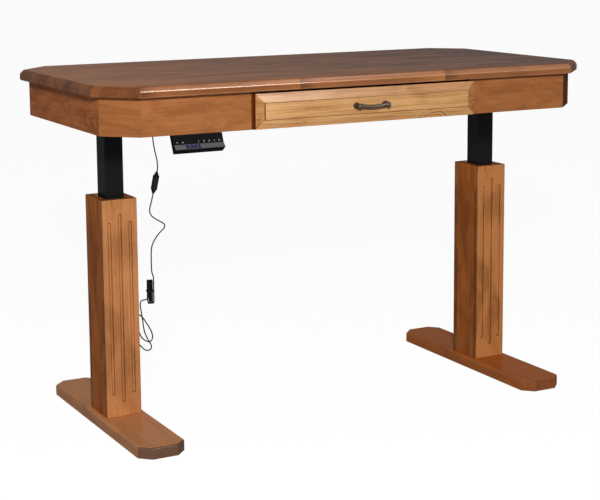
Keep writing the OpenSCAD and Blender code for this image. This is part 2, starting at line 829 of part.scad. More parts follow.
// A point of the hank: how far in and up it lies, and how many loops lie before it
function hank_point(e, z, before) = hank_mid + e * inward + [0, 0, z]
  + (hank_loops / 2 - before) * hank_pitch * across;
function hank_loop(n) = concat(
  [for (k = [0:2]) hank_point(-hank_fold, hank_run / 2 - hank_run * k / 3, n)],
  [for (k = [0:8]) hank_point(-hank_fold * cos(20 * k), -hank_run / 2 - hank_fold * sin(20 * k), n + k / 18)],
  [for (k = [0:2]) hank_point(hank_fold, hank_run * k / 3 - hank_run / 2, n + 0.5)],
  [for (k = [0:8]) hank_point(hank_fold * cos(20 * k), hank_run / 2 + hank_fold * sin(20 * k),
    n + 0.5 + k / 18)]);
hank = concat([for (n = [0:hank_loops - 1]) each hank_loop(n)],
  [for (k = [0:2]) hank_point(-hank_fold, hank_run / 2 - hank_exit * k / 2, hank_loops)]);
hank_start = hank[0];
hank_end = hank[len(hank) - 1];

pigtail = [[0, 0, 0], [0, 0, -6], [0, -2, -16], [0, -8, -32], [1, -18, -48], [1, -28, -65], [0, -37, -82],
  [-1, -44, -100], [-1, -50, -118], [1, -54, -136], [4, -57, -154], [5, -58, -169],
  conn_top - 9.5 * conn_axis, conn_top];

lead = [conn_end, conn_end + 10 * conn_axis, [-17, -58, -276], [-21, -58, -292], [-19, -58, -306],
  [-9, -58, -317], [6, -58, -327], [18.8, -58, -334.9], [21.6, -58, -337.9], [22.9, -58, -341.8],
  [22.4, -58, -346], [20.1, -58, -349.6], [7, -58, -361], [-5, -58, -375], [-15, -58, -392],
  [-19, -58, -410], [-20, -59, -430], [-21, -61, -450], [-21, -64, -470],
  hank_start + [0, 0.6, 20], hank_start + [0, 0, 8], hank_start];

tail = [hank_end, hank_end + [0, 0, -5], [-36.4, -65.7, -541.5], [-39.7, -65, -544.8], [-44.2, -64.4, -546],
  [-48, -63.8, -546], [-52.5, -63, -547.2], [-55.8, -62.2, -550.5], [-57, -61.4, -555], [-57, -60.6, -561],
  [-56, -60, -568], [-53, -59, -584], [-50, -58, -602], [-48, -58, -620], [-45, -58, -638],
  [-39, -58, -654], [-32, -58, -668], [-26, -58, -679], [-26, -58, -689], [-34, -58, -694], [-46, -58, -690],
  [-56, -58, -680], [-64, -56, -669], [-71, -53, -659], [-74.2, -49.5, -651], [-74.8, -47.8, -645.5],
  [-73.5, -46.9, -640.9], [-70.1, -46.4, -637.5], [-65.5, -46.5, -636.2], [-60.9, -47.3, -637.5],
  [-57.5, -49, -640.9], [-56.1, -51.5, -645.5], [-54.6, -55, -652],
  [-50, -61, -659], [-41, -66, -665], [-32, -68, -666], [-26, -68, -659], [-26, -68, -646], [-32, -68, -630],
  [-41, -67, -614], [-50, -66, -599], [-60, -62, -588], [-68, -50, -581], [-71, -32, -579], [-75, -12, -579],
  [-82, 6, -580], [-92, 20, -582], [-101, 27, -589], [-104, 28, -598], [-104, 28, -605]];
tail_end = tail[len(tail) - 1];

module cord(path, sides) {
  color("#141414") translate(gland) tube(path, cord_d, sides);
}

// A round body with a tapered end at each side, pointing down the lead
module cord_connector() {
  long = norm(conn_end - conn_top);
  taper = (long - conn_l) / 2;
  shoulder = 2;
  neck = cord_d / 2 + relief_wall;
  half = [[0, 0], [neck, 0], [conn_d / 2 - shoulder, taper - shoulder], [conn_d / 2, taper]];
  profile = concat(half, [for (i = [len(half) - 1:-1:0]) [half[i][0], long - half[i][1]]]);
  color("#1a1a1a") translate(gland + conn_top) rotate([0, atan2(-conn_axis[0], -conn_axis[2]), 0])
    mirror([0, 0, 1]) rotate_extrude() polygon(profile);
}

module cord_plug() {
  color("#1a1a1a") translate(gland + tail_end) mirror([0, 0, 1]) {
    cylinder(d1 = cord_d + 2 * relief_wall, d2 = plug_t - end_room, h = relief_l + eps);
    translate([0, 0, relief_l]) linear_extrude(plug_h) rounded(plug_w, plug_t, plug_r);
    for (x = [-1, 1]) translate([x * blade_gap / 2, 0, relief_l + plug_h])
      block([-blade_t / 2, -blade_w / 2, -eps], [blade_t / 2, blade_w / 2, blade_l]);
  }
}

conn_run = norm(conn_end - conn_top);
echo(cord_length = run_sum(pigtail) + conn_run + run_sum(lead) + run_sum(hank) + run_sum(tail));
echo(hank_least_gap = min([for (i = [0:len(hank) - 1], j = [i + 10:1:len(hank) - 1])
  norm(hank[i] - hank[j])]) - cord_d);

foot(-1);  // left_foot
foot(1);  // right_foot
glides(-1);  // left_glides
glides(1);  // right_glides
foot_bolts(-1);  // left_foot_bolts
foot_bolts(1);  // right_foot_bolts
outer_tube(-1);  // left_outer_tube
outer_tube(1);  // right_outer_tube
collar(-1);  // left_collar
collar(1);  // right_collar
nut_tube(-1);  // left_nut_tube
nut_tube(1);  // right_nut_tube
sleeve_front(-1);  // left_sleeve_front
sleeve_front(1);  // right_sleeve_front
sleeve_back(-1);  // left_sleeve_back
sleeve_back(1);  // right_sleeve_back
sleeve_sides(-1);  // left_sleeve_sides
sleeve_sides(1);  // right_sleeve_sides
inner_tube(-1);  // left_inner_tube
inner_tube(1);  // right_inner_tube
lead_screw(-1);  // left_lead_screw
lead_screw(1);  // right_lead_screw
drive(-1);  // left_drive
drive(1);  // right_drive
bracket(-1);  // left_bracket
bracket(1);  // right_bracket
desktop();
apron_front(-1);  // apron_front_left
apron_front(1);  // apron_front_right
color("#7d4c2b") apron_board(6);  // apron_left
color("#7d4c2b") apron_board(2);  // apron_right
color("#a5673c") apron_board(4);  // apron_back
apron_corners();
cross_rails();
bracket_screws();
control_box();
drawer_front();
drawer_sides();
drawer_back();
drawer_bottom();
drawer_pull();
drawer_cheeks();
slide_cabinet_members();
slide_middle_members();
slide_drawer_members();
handset_housing();
handset_display();
key(0);  // key_up
key(1);  // key_down
key(2);  // key_1
key(3);  // key_2
key(4);  // key_3
key(5);  // key_4
key(6);  // key_m
cord(pigtail, 8);  // cord_pigtail
cord_connector();
cord(lead, 8);  // cord_lead
cord(hank, 6);  // cord_hank
cord(tail, 8);  // cord_tail
cord_plug();
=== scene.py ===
# %% [markdown]
# # A sit-stand desk in stained wood and black steel
#
# The desk's measured pieces come ready from the CAD model and never move here. This script gives them their
# finish: stained and varnished boards, powder-coated columns, a moulded handset, a dark cast pull and a limp
# black lead. It also sets up the camera, the lamps and the pale floor.

# %% Load the desk
import math
import bpy
import bmesh
from mathutils import Matrix, Vector


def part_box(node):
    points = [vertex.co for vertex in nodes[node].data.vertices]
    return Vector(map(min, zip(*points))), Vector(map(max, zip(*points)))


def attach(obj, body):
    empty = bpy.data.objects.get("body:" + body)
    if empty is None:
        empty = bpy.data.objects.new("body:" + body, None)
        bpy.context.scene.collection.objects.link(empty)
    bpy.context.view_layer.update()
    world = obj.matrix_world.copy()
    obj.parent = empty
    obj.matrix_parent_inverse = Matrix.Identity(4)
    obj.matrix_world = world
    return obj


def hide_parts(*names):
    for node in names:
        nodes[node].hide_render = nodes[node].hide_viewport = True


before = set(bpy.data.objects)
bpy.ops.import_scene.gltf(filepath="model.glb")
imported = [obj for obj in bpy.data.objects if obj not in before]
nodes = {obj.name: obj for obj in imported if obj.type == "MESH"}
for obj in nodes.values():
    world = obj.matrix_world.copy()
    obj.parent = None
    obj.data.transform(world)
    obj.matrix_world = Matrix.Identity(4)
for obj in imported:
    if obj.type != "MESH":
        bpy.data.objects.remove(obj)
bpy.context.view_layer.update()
print("pieces from the CAD model:", len(nodes))

# %% [markdown]
# ## The camera
#
# The photograph was taken from the desk's left front, a little above the top. The numbers below come from
# matching the desk's known corners with their places in the photograph. A camera can be aimed with a target,
# but here the aim is known as angles, so its three directions are worked out and written straight into its
# matrix.

# %% Place the camera
def camera_matrix(place, yaw, pitch, roll):
    """A camera at place that looks along +Y, turned by yaw towards +X, tipped down by pitch and rolled."""
    yaw, pitch, roll = (math.radians(a) for a in (yaw, pitch, roll))
    ahead = Vector((math.sin(yaw) * math.cos(pitch), math.cos(yaw) * math.cos(pitch), -math.sin(pitch)))
    level = Vector((math.cos(yaw), -math.sin(yaw), 0))
    up = level.cross(ahead)
    right = math.cos(roll) * level + math.sin(roll) * up
    top = math.cos(roll) * up - math.sin(roll) * level
    turned = Matrix((right, top, -ahead)).transposed().to_4x4()
    return Matrix.Translation(place) @ turned


def add_object(name, data):
    """Puts an object with this data into the scene."""
    made = bpy.data.objects.new(name, data)
    bpy.context.scene.collection.objects.link(made)
    return made


lens = bpy.data.cameras.new("photo_camera")
lens.lens = 90.83
lens.sensor_width = 36
lens.shift_y = -0.14
lens.clip_end = 100
camera = add_object("photo_camera", lens)
camera_place = Vector((-2.0672, -3.8486, 1.3281))
camera.matrix_world = camera_matrix(camera_place, yaw=27.977, pitch=8.489, roll=-0.422)
bpy.context.scene.camera = camera
print("camera", round(camera_place.length, 2), "m from the floor's middle, lens", round(lens.lens, 2), "mm")

# %% [markdown]
# ## The supply lead
#
# A thin black lead comes out of the control box, runs into a round connector, kinks where it was once folded,
# and hangs in a tied hank before its last loops end in the plug behind the left leg. The CAD model gives its
# route as points below the gland, so the same points are used here, in millimetres. A bevelled curve suits a
# lead, because it stays one smooth round tube however it is bent.

# %% Write down the lead's route
MM = 0.001
gland = Vector((-470, 70, 882))
lead_d = 3.5
connector_top, connector_end = Vector((3, -58, -188)), Vector((-10, -58, -248))
connector_axis = (connector_end - connector_top).normalized()
straight_in, straight_out = 9.5, 10

pigtail = [Vector(p) for p in (
    (0, 0, 0), (0, 0, -6), (0, -2, -16), (0, -8, -32), (1, -18, -48), (1, -28, -65), (0, -37, -82),
    (-1, -44, -100), (-1, -50, -118), (1, -54, -136), (4, -57, -154), (5, -58, -169))]
pigtail += [connector_top - straight_in * connector_axis, connector_top]
kinked = [Vector(p) for p in (
    (-17, -58, -276), (-21, -58, -292), (-19, -58, -306), (-9, -58, -317), (6, -58, -327),
    (18.8, -58, -334.9), (21.6, -58, -337.9), (22.9, -58, -341.8), (22.4, -58, -346), (20.1, -58, -349.6),
    (7, -58, -361), (-5, -58, -375), (-15, -58, -392), (-19, -58, -410), (-20, -59, -430), (-21, -61, -450),
    (-21, -64, -470))]
last_loops = [Vector(p) for p in (
    (-36.4, -65.7, -541.5), (-39.7, -65, -544.8), (-44.2, -64.4, -546), (-48, -63.8, -546),
    (-52.5, -63, -547.2), (-55.8, -62.2, -550.5), (-57, -61.4, -555), (-57, -60.6, -561), (-56, -60, -568),
    (-53, -59, -584), (-50, -58, -602), (-48, -58, -620), (-45, -58, -638), (-39, -58, -654),
    (-32, -58, -668), (-26, -58, -679), (-26, -58, -689), (-34, -58, -694), (-46, -58, -690),
    (-56, -58, -680), (-64, -56, -669), (-71, -53, -659), (-74.2, -49.5, -651), (-74.8, -47.8, -645.5),
    (-73.5, -46.9, -640.9), (-70.1, -46.4, -637.5), (-65.5, -46.5, -636.2), (-60.9, -47.3, -637.5),
    (-57.5, -49, -640.9), (-56.1, -51.5, -645.5), (-54.6, -55, -652), (-50, -61, -659), (-41, -66, -665),
    (-32, -68, -666), (-26, -68, -659), (-26, -68, -646), (-32, -68, -630), (-41, -67, -614),
    (-50, -66, -599), (-60, -62, -588), (-68, -50, -581), (-71, -32, -579), (-75, -12, -579), (-82, 6, -580),
    (-92, 20, -582), (-101, 27, -589), (-104, 28, -598), (-104, 28, -605))]
print("points chosen by hand:", len(pigtail) + len(kinked) + len(last_loops))

# %% [markdown]
# The spare length is folded into a hank. Its loops could be typed in as points too, but they repeat, so they
# are counted out: each half loop is a straight run and then a half circle, and the loops lie side by side.

# %% Wind the hank
hank_mid = Vector((-25, -58, -526))
hank_run, hank_fold = 45.5, 10.5
hank_pitch, hank_loops = 4.1, 4
hank_exit = 28
run_parts, fold_parts = 3, 9
turn = math.radians(-12)
across = Vector((math.cos(turn), math.sin(turn), 0))
inward = Vector((-math.sin(turn), math.cos(turn), 0))


def hank_point(side, height, loop):
    """A point of the hank: how far in, how far up, and how many loops lie before it."""
    return hank_mid + side * inward + Vector((0, 0, height)) + (hank_loops / 2 - loop) * hank_pitch * across


hank = []
for half_loop in range(2 * hank_loops):
    end, loop = (1 if half_loop % 2 else -1), half_loop / 2
    for k in range(run_parts):
        hank.append(hank_point(end * hank_fold, end * hank_run * (k / run_parts - 0.5), loop))
    for k in range(fold_parts):
        bend = math.pi * k / fold_parts
        hank.append(hank_point(end * hank_fold * math.cos(bend),
                               end * (hank_run / 2 + hank_fold * math.sin(bend)), loop + k / fold_parts / 2))
hank += [hank_point(-hank_fold, hank_run / 2 - hank_exit * k / 2, hank_loops) for k in range(3)]
print("points in the hank:", len(hank))

# %% Make the lead
above_hank, below_hank = (Vector((0, 0.6, 20)), Vector((0, 0, 8))), Vector((0, 0, -5))
route = pigtail + [connector_end, connector_end + straight_out * connector_axis] + kinked
route += [hank[0] + p for p in above_hank] + hank + [hank[-1] + below_hank] + last_loops
route = [(gland + p) * MM for p in route]


def tube_curve(name, points, diameter):
    """A round tube along the points, as one smooth curve."""
    line = bpy.data.curves.new(name, "CURVE")
    line.dimensions = "3D"
    line.bevel_depth = diameter / 2
    line.bevel_resolution = 3
    line.resolution_u = 5
    line.use_fill_caps = True
    spline = line.splines.new("BEZIER")
    spline.bezier_points.add(len(points) - 1)
    for bend, point in zip(spline.bezier_points, points):
        bend.co = point
        bend.handle_left_type = bend.handle_right_type = "AUTO"
    return add_object(name, line)


supply_lead = tube_curve("supply_lead", route, lead_d * MM)

# %% [markdown]
# ## Helpers for materials
#
# Every finish is a small network of nodes. Writing each node out takes many lines, so one helper fills a
# node's inputs, and another makes a node, fills it and gives it back. Three more are for the nodes used most:
# sums, mixes of two colours, and stretching a value's range to other limits.

# %% Make nodes with fewer lines
def srgb(r, g, b):
    """A colour as it is read off a picture, 0 to 255, turned into the linear values that nodes work in."""
    def straight(c):
        c /= 255
        return c / 12.92 if c < 0.04045 else ((c + 0.055) / 1.055) ** 2.4
    return (straight(r), straight(g), straight(b), 1)


def fill(node, inputs):
    """Fills a node's inputs, by name or by place, with values or with other nodes' outputs."""
    for key, value in inputs.items():
        if isinstance(value, bpy.types.NodeSocket):
            node.id_data.links.new(value, node.inputs[key])
        else:
            node.inputs[key].default_value = value


def put(tree, kind, inputs=(), **settings):
    """A node in tree. Its inputs are given as a dictionary by name, or as a list in their order."""
    made = tree.nodes.new("ShaderNode" + kind)
    for name, value in settings.items():
        setattr(made, name, value)
    fill(made, inputs if isinstance(inputs, dict) else dict(enumerate(inputs)))
    return made


print("a mid grey of 128 is", round(srgb(128, 128, 128)[0], 3), "in linear values")


# %% Shorten the nodes used most
def maths(tree, operation, *values):
    """The result of one sum."""
    return put(tree, "Math", values, operation=operation).outputs[0]


def blend(tree, amount, first, second):
    """A mix of two colours. The Mix node keeps its colour inputs and output at these places."""
    return put(tree, "Mix", {0: amount, 6: first, 7: second}, data_type="RGBA").outputs[2]


def spread(tree, value, low, high, to_low=0.0, to_high=1.0):
    """Stretches a value's range from low to high to other limits, and stops there."""
    return put(tree, "MapRange", [value, low, high, to_low, to_high]).outputs[0]


print("ready for sums, mixes and ranges")

# %% [markdown]
# An effect that several materials share is a node group. Its inputs and outputs have names and kinds, which
# follow from the start values given here: a number, a vector of three or a colour of four.

# %% Open groups and materials
def open_group(name, inputs, outputs):
    """An empty node group. inputs is {name: start value}, outputs {name: kind}."""
    group = bpy.data.node_groups.new(name, "ShaderNodeTree")
    for key, value in inputs.items():
        kind = "NodeSocketFloat"
        if isinstance(value, tuple):
            kind = "NodeSocketColor" if len(value) == 4 else "NodeSocketVector"
        socket = group.interface.new_socket(key, in_out="INPUT", socket_type=kind)
        socket.default_value = value
    for key, kind in outputs.items():
        group.interface.new_socket(key, in_out="OUTPUT", socket_type="NodeSocket" + kind)
    return group, group.nodes.new("NodeGroupInput").outputs, group.nodes.new("NodeGroupOutput").inputs


def new_material(name):
    """A material, its nodes and its shader."""
    made = bpy.data.materials.new(name)
    made.use_nodes = True
    tree = made.node_tree
    return made, tree, tree.nodes["Principled BSDF"]


print("ready for groups and materials")

# %% [markdown]
# ## Stained wood, as one node group
#
# All the boards are one kind of wood with one stain, cut from different planks. A single group makes the
# wood, and each board gives it its own colours, scale and place. Growth rings are a wave texture round the
# tree's middle, which slopes a little, so that the face of a board shows the arches of plain-sawn timber. The
# desktop is glued from staves, so the group can also divide its space into staves, each with its own tone and
# its own piece of the tree. Each row of staves is shifted by a golden share of their length, so that joints
# never line up. A picture of wood would be simpler, but it would repeat and would break at the corners, where
# this wood runs through from the face into the end grain.

# %% Open the wood group and divide it into staves
wood_group, given, result = open_group(
    "stained_wood",
    {"Place": (0.0, 0.0, 0.0), "End Grain": 0.0, "Pale": srgb(200, 150, 100), "Deep": srgb(110, 60, 30),
     "Stave Width": 10.0, "Stave Length": 10.0, "Stave Contrast": 0.0, "Ring Gap": 0.006,
     "Ring Contrast": 0.4, "Ring Wobble": 2.0, "Pith Depth": 0.06, "Pith Shift": 0.0, "Slope": 0.05,
     "Pore Contrast": 0.2, "Blotch Contrast": 0.3, "Blotch Scale": 9.0, "Fleck Contrast": 0.3,
     "Curl Contrast": 0.0, "End Contrast": 0.35, "Stain": 0.0, "Varnish": 0.07},
    {"Color": "Color", "Roughness": "Float", "Varnish": "Float", "Height": "Float"})
g = wood_group
golden, dice_seed = 0.618034, 0.37
along_grain, across_board, through_board = put(g, "SeparateXYZ", [given["Place"]]).outputs
rows = maths(g, "DIVIDE", across_board, given["Stave Width"])
row = maths(g, "FLOOR", rows)
stagger = maths(g, "MULTIPLY", maths(g, "FRACT", maths(g, "MULTIPLY", row, golden)), given["Stave Length"])
along = maths(g, "DIVIDE", maths(g, "ADD", along_grain, stagger), given["Stave Length"])
stave = put(g, "CombineXYZ", [row, maths(g, "FLOOR", along), dice_seed]).outputs[0]
dice = put(g, "TexWhiteNoise", {"Vector": stave}, noise_dimensions="3D").outputs
luck = put(g, "SeparateXYZ", [dice["Color"]]).outputs
print("staves are told apart by", len(luck), "random numbers each")

# %% [markdown]
# The tree's middle, its pith, lies somewhere below each stave. The group moves every point of a stave to its
# place in that tree, and the wave texture then draws the rings round the pith. Along the tree places are
# squeezed, so that the rings hardly change there, and each stave comes from another length of it. At a scale
# of 1 the texture's rings lie 0.314 m apart, which gives the scale for any other gap. A power makes the dark
# line of each ring narrower.

# %% Grow the rings
pith_spread = 0.12
squeeze, apart = 0.09, 7.0
gap_at_scale_1, narrowing = 0.314, 2.2
inside = maths(g, "MULTIPLY", maths(g, "SUBTRACT", maths(g, "FRACT", along), 0.5), given["Stave Length"])
middle = maths(g, "MULTIPLY", maths(g, "ADD", row, 0.5), given["Stave Width"])
side = maths(g, "MULTIPLY_ADD", luck[0], pith_spread, -pith_spread / 2)
side = maths(g, "ADD", maths(g, "ADD", maths(g, "SUBTRACT", across_board, middle), side), given["Pith Shift"])
tilt = maths(g, "MULTIPLY_ADD", luck[1], 2, -1)
rise = maths(g, "MULTIPLY", maths(g, "MULTIPLY", inside, given["Slope"]), tilt)
below = maths(g, "MULTIPLY", given["Pith Depth"], maths(g, "ADD", luck[2], 0.5))
up = maths(g, "ADD", maths(g, "ADD", through_board, rise), below)
lengthwise = maths(g, "MULTIPLY_ADD", inside, squeeze, maths(g, "MULTIPLY", luck[1], apart))
in_tree = put(g, "CombineXYZ", [lengthwise, side, up]).outputs[0]
rings = put(g, "TexWave",
            {"Vector": in_tree, "Scale": maths(g, "DIVIDE", gap_at_scale_1, given["Ring Gap"]),
             "Distortion": given["Ring Wobble"], "Detail": 3.0, "Detail Scale": 0.7,
             "Detail Roughness": 0.55},
            wave_type="RINGS", rings_direction="X", wave_profile="SAW").outputs["Fac"]
ring_line = maths(g, "POWER", rings, narrowing)
print("nodes in the wood group so far:", len(g.nodes))

# %% [markdown]
# Pores are long and thin, so their noise is squeezed across the grain. Blotches are where the stain went in
# deeper. Flecks are small dark marks, and curls are pale rings where the plane cut through wild grain: they
# are the contour lines of a soft noise.

# %% Add pores, blotches, flecks and curls
def noise(vector, detail=3.0, **inputs):
    """Smooth noise between 0 and 1, in the wood group."""
    inputs = {"Vector": vector, "Detail": detail, **{key.title(): value for key, value in inputs.items()}}
    return put(g, "TexNoise", inputs).outputs["Fac"]


def squeezed(lengthwise_scale, crosswise_scale):
    """The group's place with its own scale along the grain and across it."""
    spot = put(g, "CombineXYZ", [along_grain, side, through_board]).outputs[0]
    scale = (lengthwise_scale, crosswise_scale, crosswise_scale)
    return put(g, "VectorMath", [spot, scale], operation="MULTIPLY").outputs[0]


fine = noise(squeezed(9, 420), scale=1.0)
streak = noise(squeezed(2.5, 95), detail=4.0, scale=1.0)
pores = maths(g, "ADD", spread(g, fine, 0.52, 0.72), spread(g, streak, 0.45, 0.75))
soft = put(g, "VectorMath", [in_tree, (5.0, 1.0, 1.0)], operation="MULTIPLY").outputs[0]
blotch = noise(soft, scale=given["Blotch Scale"], distortion=0.8)
fleck = spread(g, noise(squeezed(70, 260), detail=1.0, scale=1.0), 0.68, 0.74)
wild = noise(soft, detail=1.0, scale=26.0, distortion=1.5)
curl = spread(g, maths(g, "ABSOLUTE", maths(g, "SUBTRACT", wild, 0.52)), 0.0, 0.02, 1.0, 0.0)
print("the wood has pores, blotches, flecks and curls")

# %% Mark the glue lines
glue_dark, glue_clear = 0.0002, 0.0009
gap_x = maths(g, "MULTIPLY", maths(g, "PINGPONG", along, 0.5), given["Stave Length"])
gap_y = maths(g, "MULTIPLY", maths(g, "PINGPONG", rows, 0.5), given["Stave Width"])
glue = spread(g, maths(g, "MINIMUM", gap_x, gap_y), glue_dark, glue_clear, 1.0, 0.0)
print("glue lines fade out", round(glue_clear / MM, 1), "mm from a joint")

# %% [markdown]
# Every mark makes the wood darker by its own strength, and the sum runs from the pale colour to the deep one.
# On end grain the rings, glue lines and tones of the staves are calmer. The pores also roughen the varnish
# and dent the surface.

# %% Mix the wood's colour
end_calm, glue_contrast, darkest = 0.85, 0.45, 1.2
calm = maths(g, "MULTIPLY_ADD", given["End Grain"], -end_calm, 1.0)
marks = ((ring_line, maths(g, "MULTIPLY", calm, given["Ring Contrast"])),
         (pores, given["Pore Contrast"]),
         (glue, maths(g, "MULTIPLY", calm, glue_contrast)),
         (spread(g, blotch, 0.35, 0.65), given["Blotch Contrast"]),
         (dice["Value"], maths(g, "MULTIPLY", calm, given["Stave Contrast"])),
         (fleck, given["Fleck Contrast"]),
         (given["End Grain"], given["End Contrast"]))
darker = maths(g, "MULTIPLY_ADD", maths(g, "MULTIPLY", curl, given["Curl Contrast"]), -1.0, given["Stain"])
for mark, strength in marks:
    darker = maths(g, "MULTIPLY_ADD", mark, strength, darker)
darker = maths(g, "MAXIMUM", maths(g, "MINIMUM", darker, darkest), 0.0)
g.links.new(blend(g, darker, given["Pale"], given["Deep"]), result["Color"])
g.links.new(spread(g, pores, 0.0, 1.6, 0.42, 0.6), result["Roughness"])
g.links.new(maths(g, "MULTIPLY", given["Varnish"], spread(g, pores, 0.0, 1.8, 1.0, 0.55)), result["Varnish"])
g.links.new(maths(g, "MULTIPLY", maths(g, "ADD", pores, glue), -1.0), result["Height"])
print("the wood group has", len(g.nodes), "nodes")

# %% [markdown]
# ## A material for each board
#
# The group reads its place as along the grain, across the board and through it. A board's grain runs along
# its length, so each material picks the desk's own directions in that order and starts at the middle of its
# board. These places belong to the piece, so the grain moves with it. The corner boards stand at 45 degrees,
# and the four of them mirror each other, so their length and thickness are the difference and the sum of the
# distances from the desk's middle. End grain drinks more stain, so it is darker where a face looks along the
# grain.

# %% Define the boards' material
def feed(group, **looks):
    """Sets looks of a group in a material, to values or to nodes' outputs. ring_gap is Ring Gap there."""
    fill(group, {key.replace("_", " ").title(): value for key, value in looks.items()})


def wood(name, order, middle, pale, deep, start=(5.0, 5.0, 0.0), polish=0.2, **looks):
    """Stained wood. order names the desk's directions along the grain, across the board and through it.

    start is the middle's place among the group's staves: the middle of one, unless it says otherwise.
    """
    made, tree, shader = new_material(name)
    where = put(tree, "TexCoord").outputs
    centred = put(tree, "VectorMath", [where["Object"], tuple(middle)], operation="SUBTRACT").outputs[0]
    axes = dict(zip("xyz", put(tree, "SeparateXYZ", [centred]).outputs))
    face = dict(zip("xyz", put(tree, "SeparateXYZ", [where["Normal"]]).outputs))
    if order[0] == "d":
        far_x, far_y = (maths(tree, "MULTIPLY", maths(tree, "ABSOLUTE", axes[letter]), math.sqrt(0.5))
                        for letter in "xy")
        axes.update(d=maths(tree, "SUBTRACT", far_x, far_y), s=maths(tree, "ADD", far_x, far_y))
    picked = put(tree, "CombineXYZ", [axes[letter] for letter in order]).outputs[0]
    placed = put(tree, "VectorMath", [picked, start], operation="ADD").outputs[0]
    board = put(tree, "Group", node_tree=wood_group)
    feed(board, place=placed, pale=srgb(*pale), deep=srgb(*deep), **looks)
    if order[0] in face:
        feed(board, end_grain=spread(tree, maths(tree, "ABSOLUTE", face[order[0]]), 0.3, 0.5))
    relief = put(tree, "Bump", {"Strength": 0.35, "Distance": 0.0004, "Height": board.outputs["Height"]})
    fill(shader, {"Base Color": board.outputs["Color"], "Roughness": board.outputs["Roughness"],
                  "Coat Weight": board.outputs["Varnish"], "Normal": relief.outputs[0],
                  "Specular IOR Level": 0.0, "Coat Roughness": polish})
    return made


print("the boards' material is ready")

# %% [markdown]
# Some boards need a look that changes from place to place, such as more stain where it gathered. The helpers
# below open such a material again, and tell where a point lies and which way its face looks.

# %% Define helpers that vary a board's looks
def opened(made):
    """A material, opened again: its tree and the group in it."""
    tree = made.node_tree
    return tree, next(node for node in tree.nodes if node.type == "GROUP")


def point_of(tree):
    """Where a point lies, as X, Y and Z in metres."""
    return put(tree, "SeparateXYZ", [put(tree, "TexCoord").outputs["Object"]]).outputs


def face_of(tree):
    """Which way the surface looks, as X, Y and Z from -1 to 1."""
    return put(tree, "SeparateXYZ", [put(tree, "TexCoord").outputs["Normal"]]).outputs


print("ready to vary the boards' looks")

# %% [markdown]
# ## The desktop
#
# The top is glued from staves about 63 mm wide and 450 mm long, whose tones differ a little. The staves are
# laid out from a joint on the front edge, 216 mm left of the middle, where the real one is.

# %% Glue up the desktop
def dress(material, *names):
    """Puts a material on CAD pieces."""
    for name in names:
        nodes[name].data.materials.clear()
        nodes[name].data.materials.append(material)


stave_w, stave_l = 0.0635, 0.45
front_joint = -0.216
low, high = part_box("desktop")
top_wood = wood("desktop_wood", "xyz", (front_joint, low.y, low.z), (196, 126, 76), (104, 60, 36),
                start=(0.0, 0.01, 0.0), polish=0.17, stave_width=stave_w, stave_length=stave_l,
                stave_contrast=0.32, ring_contrast=0.18, pore_contrast=0.12, blotch_contrast=0.32,
                pith_depth=0.05, end_contrast=0.5)
dress(top_wood, "desktop")
print("staves across the top:", round((high.y - low.y) / stave_w))

# %% [markdown]
# Beside a joint the front edge is darker, because a stave's cut end drinks more stain. The upper edge is
# sanded rounder and keeps the most varnish, so it is also the glossiest, and its colour is painted paler as a
# painted highlight. The top is painted a little darker from left to right, as painted shade where less of the
# lamp's light falls. Each of these places is found by where it lies or by the way its face looks, which is
# surer than painting it by hand.

# %% Stain and varnish the desktop
joint_dark, joint_clear = 0.01, 0.05
tree, board = opened(top_wood)
x, face = point_of(tree)["X"], face_of(tree)
forward = maths(tree, "MULTIPLY", face["Y"], -1.0)
sideways = maths(tree, "ABSOLUTE", face["X"])
past_joint = maths(tree, "DIVIDE", maths(tree, "SUBTRACT", x, front_joint), stave_l)
past_joint = maths(tree, "MULTIPLY", maths(tree, "FRACT", past_joint), stave_l)
cut_end = spread(tree, past_joint, joint_dark, joint_clear, 0.35, 0.0)
cut_end = maths(tree, "MULTIPLY", spread(tree, forward, 0.5, 0.6), cut_end)
# Painted shade: the top's stain runs from paler on the left to darker on the right.
painted_falloff = spread(tree, x, -0.7, 0.7, -0.38, 0.46)
painted_falloff = maths(tree, "MULTIPLY", spread(tree, face["Z"], 0.9, 0.99), painted_falloff)
rounded = spread(tree, forward, 0.6, 0.68)
rounded = maths(tree, "MINIMUM", rounded, spread(tree, forward, 0.99, 0.999, 1.0, 0.0))
rounded = maths(tree, "MINIMUM", rounded, spread(tree, sideways, 0.2, 0.4, 1.0, 0.0))
# Painted highlight: the rounded edge's stain is lowered by 0.25, which makes it paler.
feed(board, stain=maths(tree, "MULTIPLY_ADD", rounded, -0.25, maths(tree, "ADD", cut_end, painted_falloff)),
     varnish=maths(tree, "MULTIPLY_ADD", rounded, 0.78, 0.13))
print("the desktop's material has", len(tree.nodes), "nodes")

# %% [markdown]
# ## The apron
#
# The apron is a ring of boards under the top. Its front boards are calm and orange brown, and its sides have
# wild grain with pale curls. The drawer front laps over the front boards, and a painted shadow darkens the
# left one along the lap. The lap's place is read from the drawer front's box, so the painted shadow always
# lies beside it. The corner boards on the right are stained darker than those on the left, as painted shade,
# because they face away from the lamp.

# %% Finish the apron's straight boards
def middle_of(name):
    """The middle of a CAD piece's box."""
    low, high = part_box(name)
    return (low + high) / 2


orange, brown = (192, 124, 74), (126, 72, 38)
for name in ("apron_front_left", "apron_front_right", "apron_back"):
    dress(wood(name + "_wood", "xzy", middle_of(name), orange, brown, ring_gap=0.004, ring_contrast=0.14,
               pith_shift=0.13, pith_depth=0.07, slope=0.02, blotch_contrast=0.4, blotch_scale=20.0,
               pore_contrast=0.16, curl_contrast=0.06), name)
for name in ("apron_left", "apron_right"):
    dress(wood(name + "_wood", "yzx", middle_of(name), (206, 124, 68), (122, 62, 30), ring_gap=0.009,
               ring_contrast=0.2, blotch_contrast=0.45, blotch_scale=16.0, curl_contrast=0.8), name)
print("straight apron boards finished")
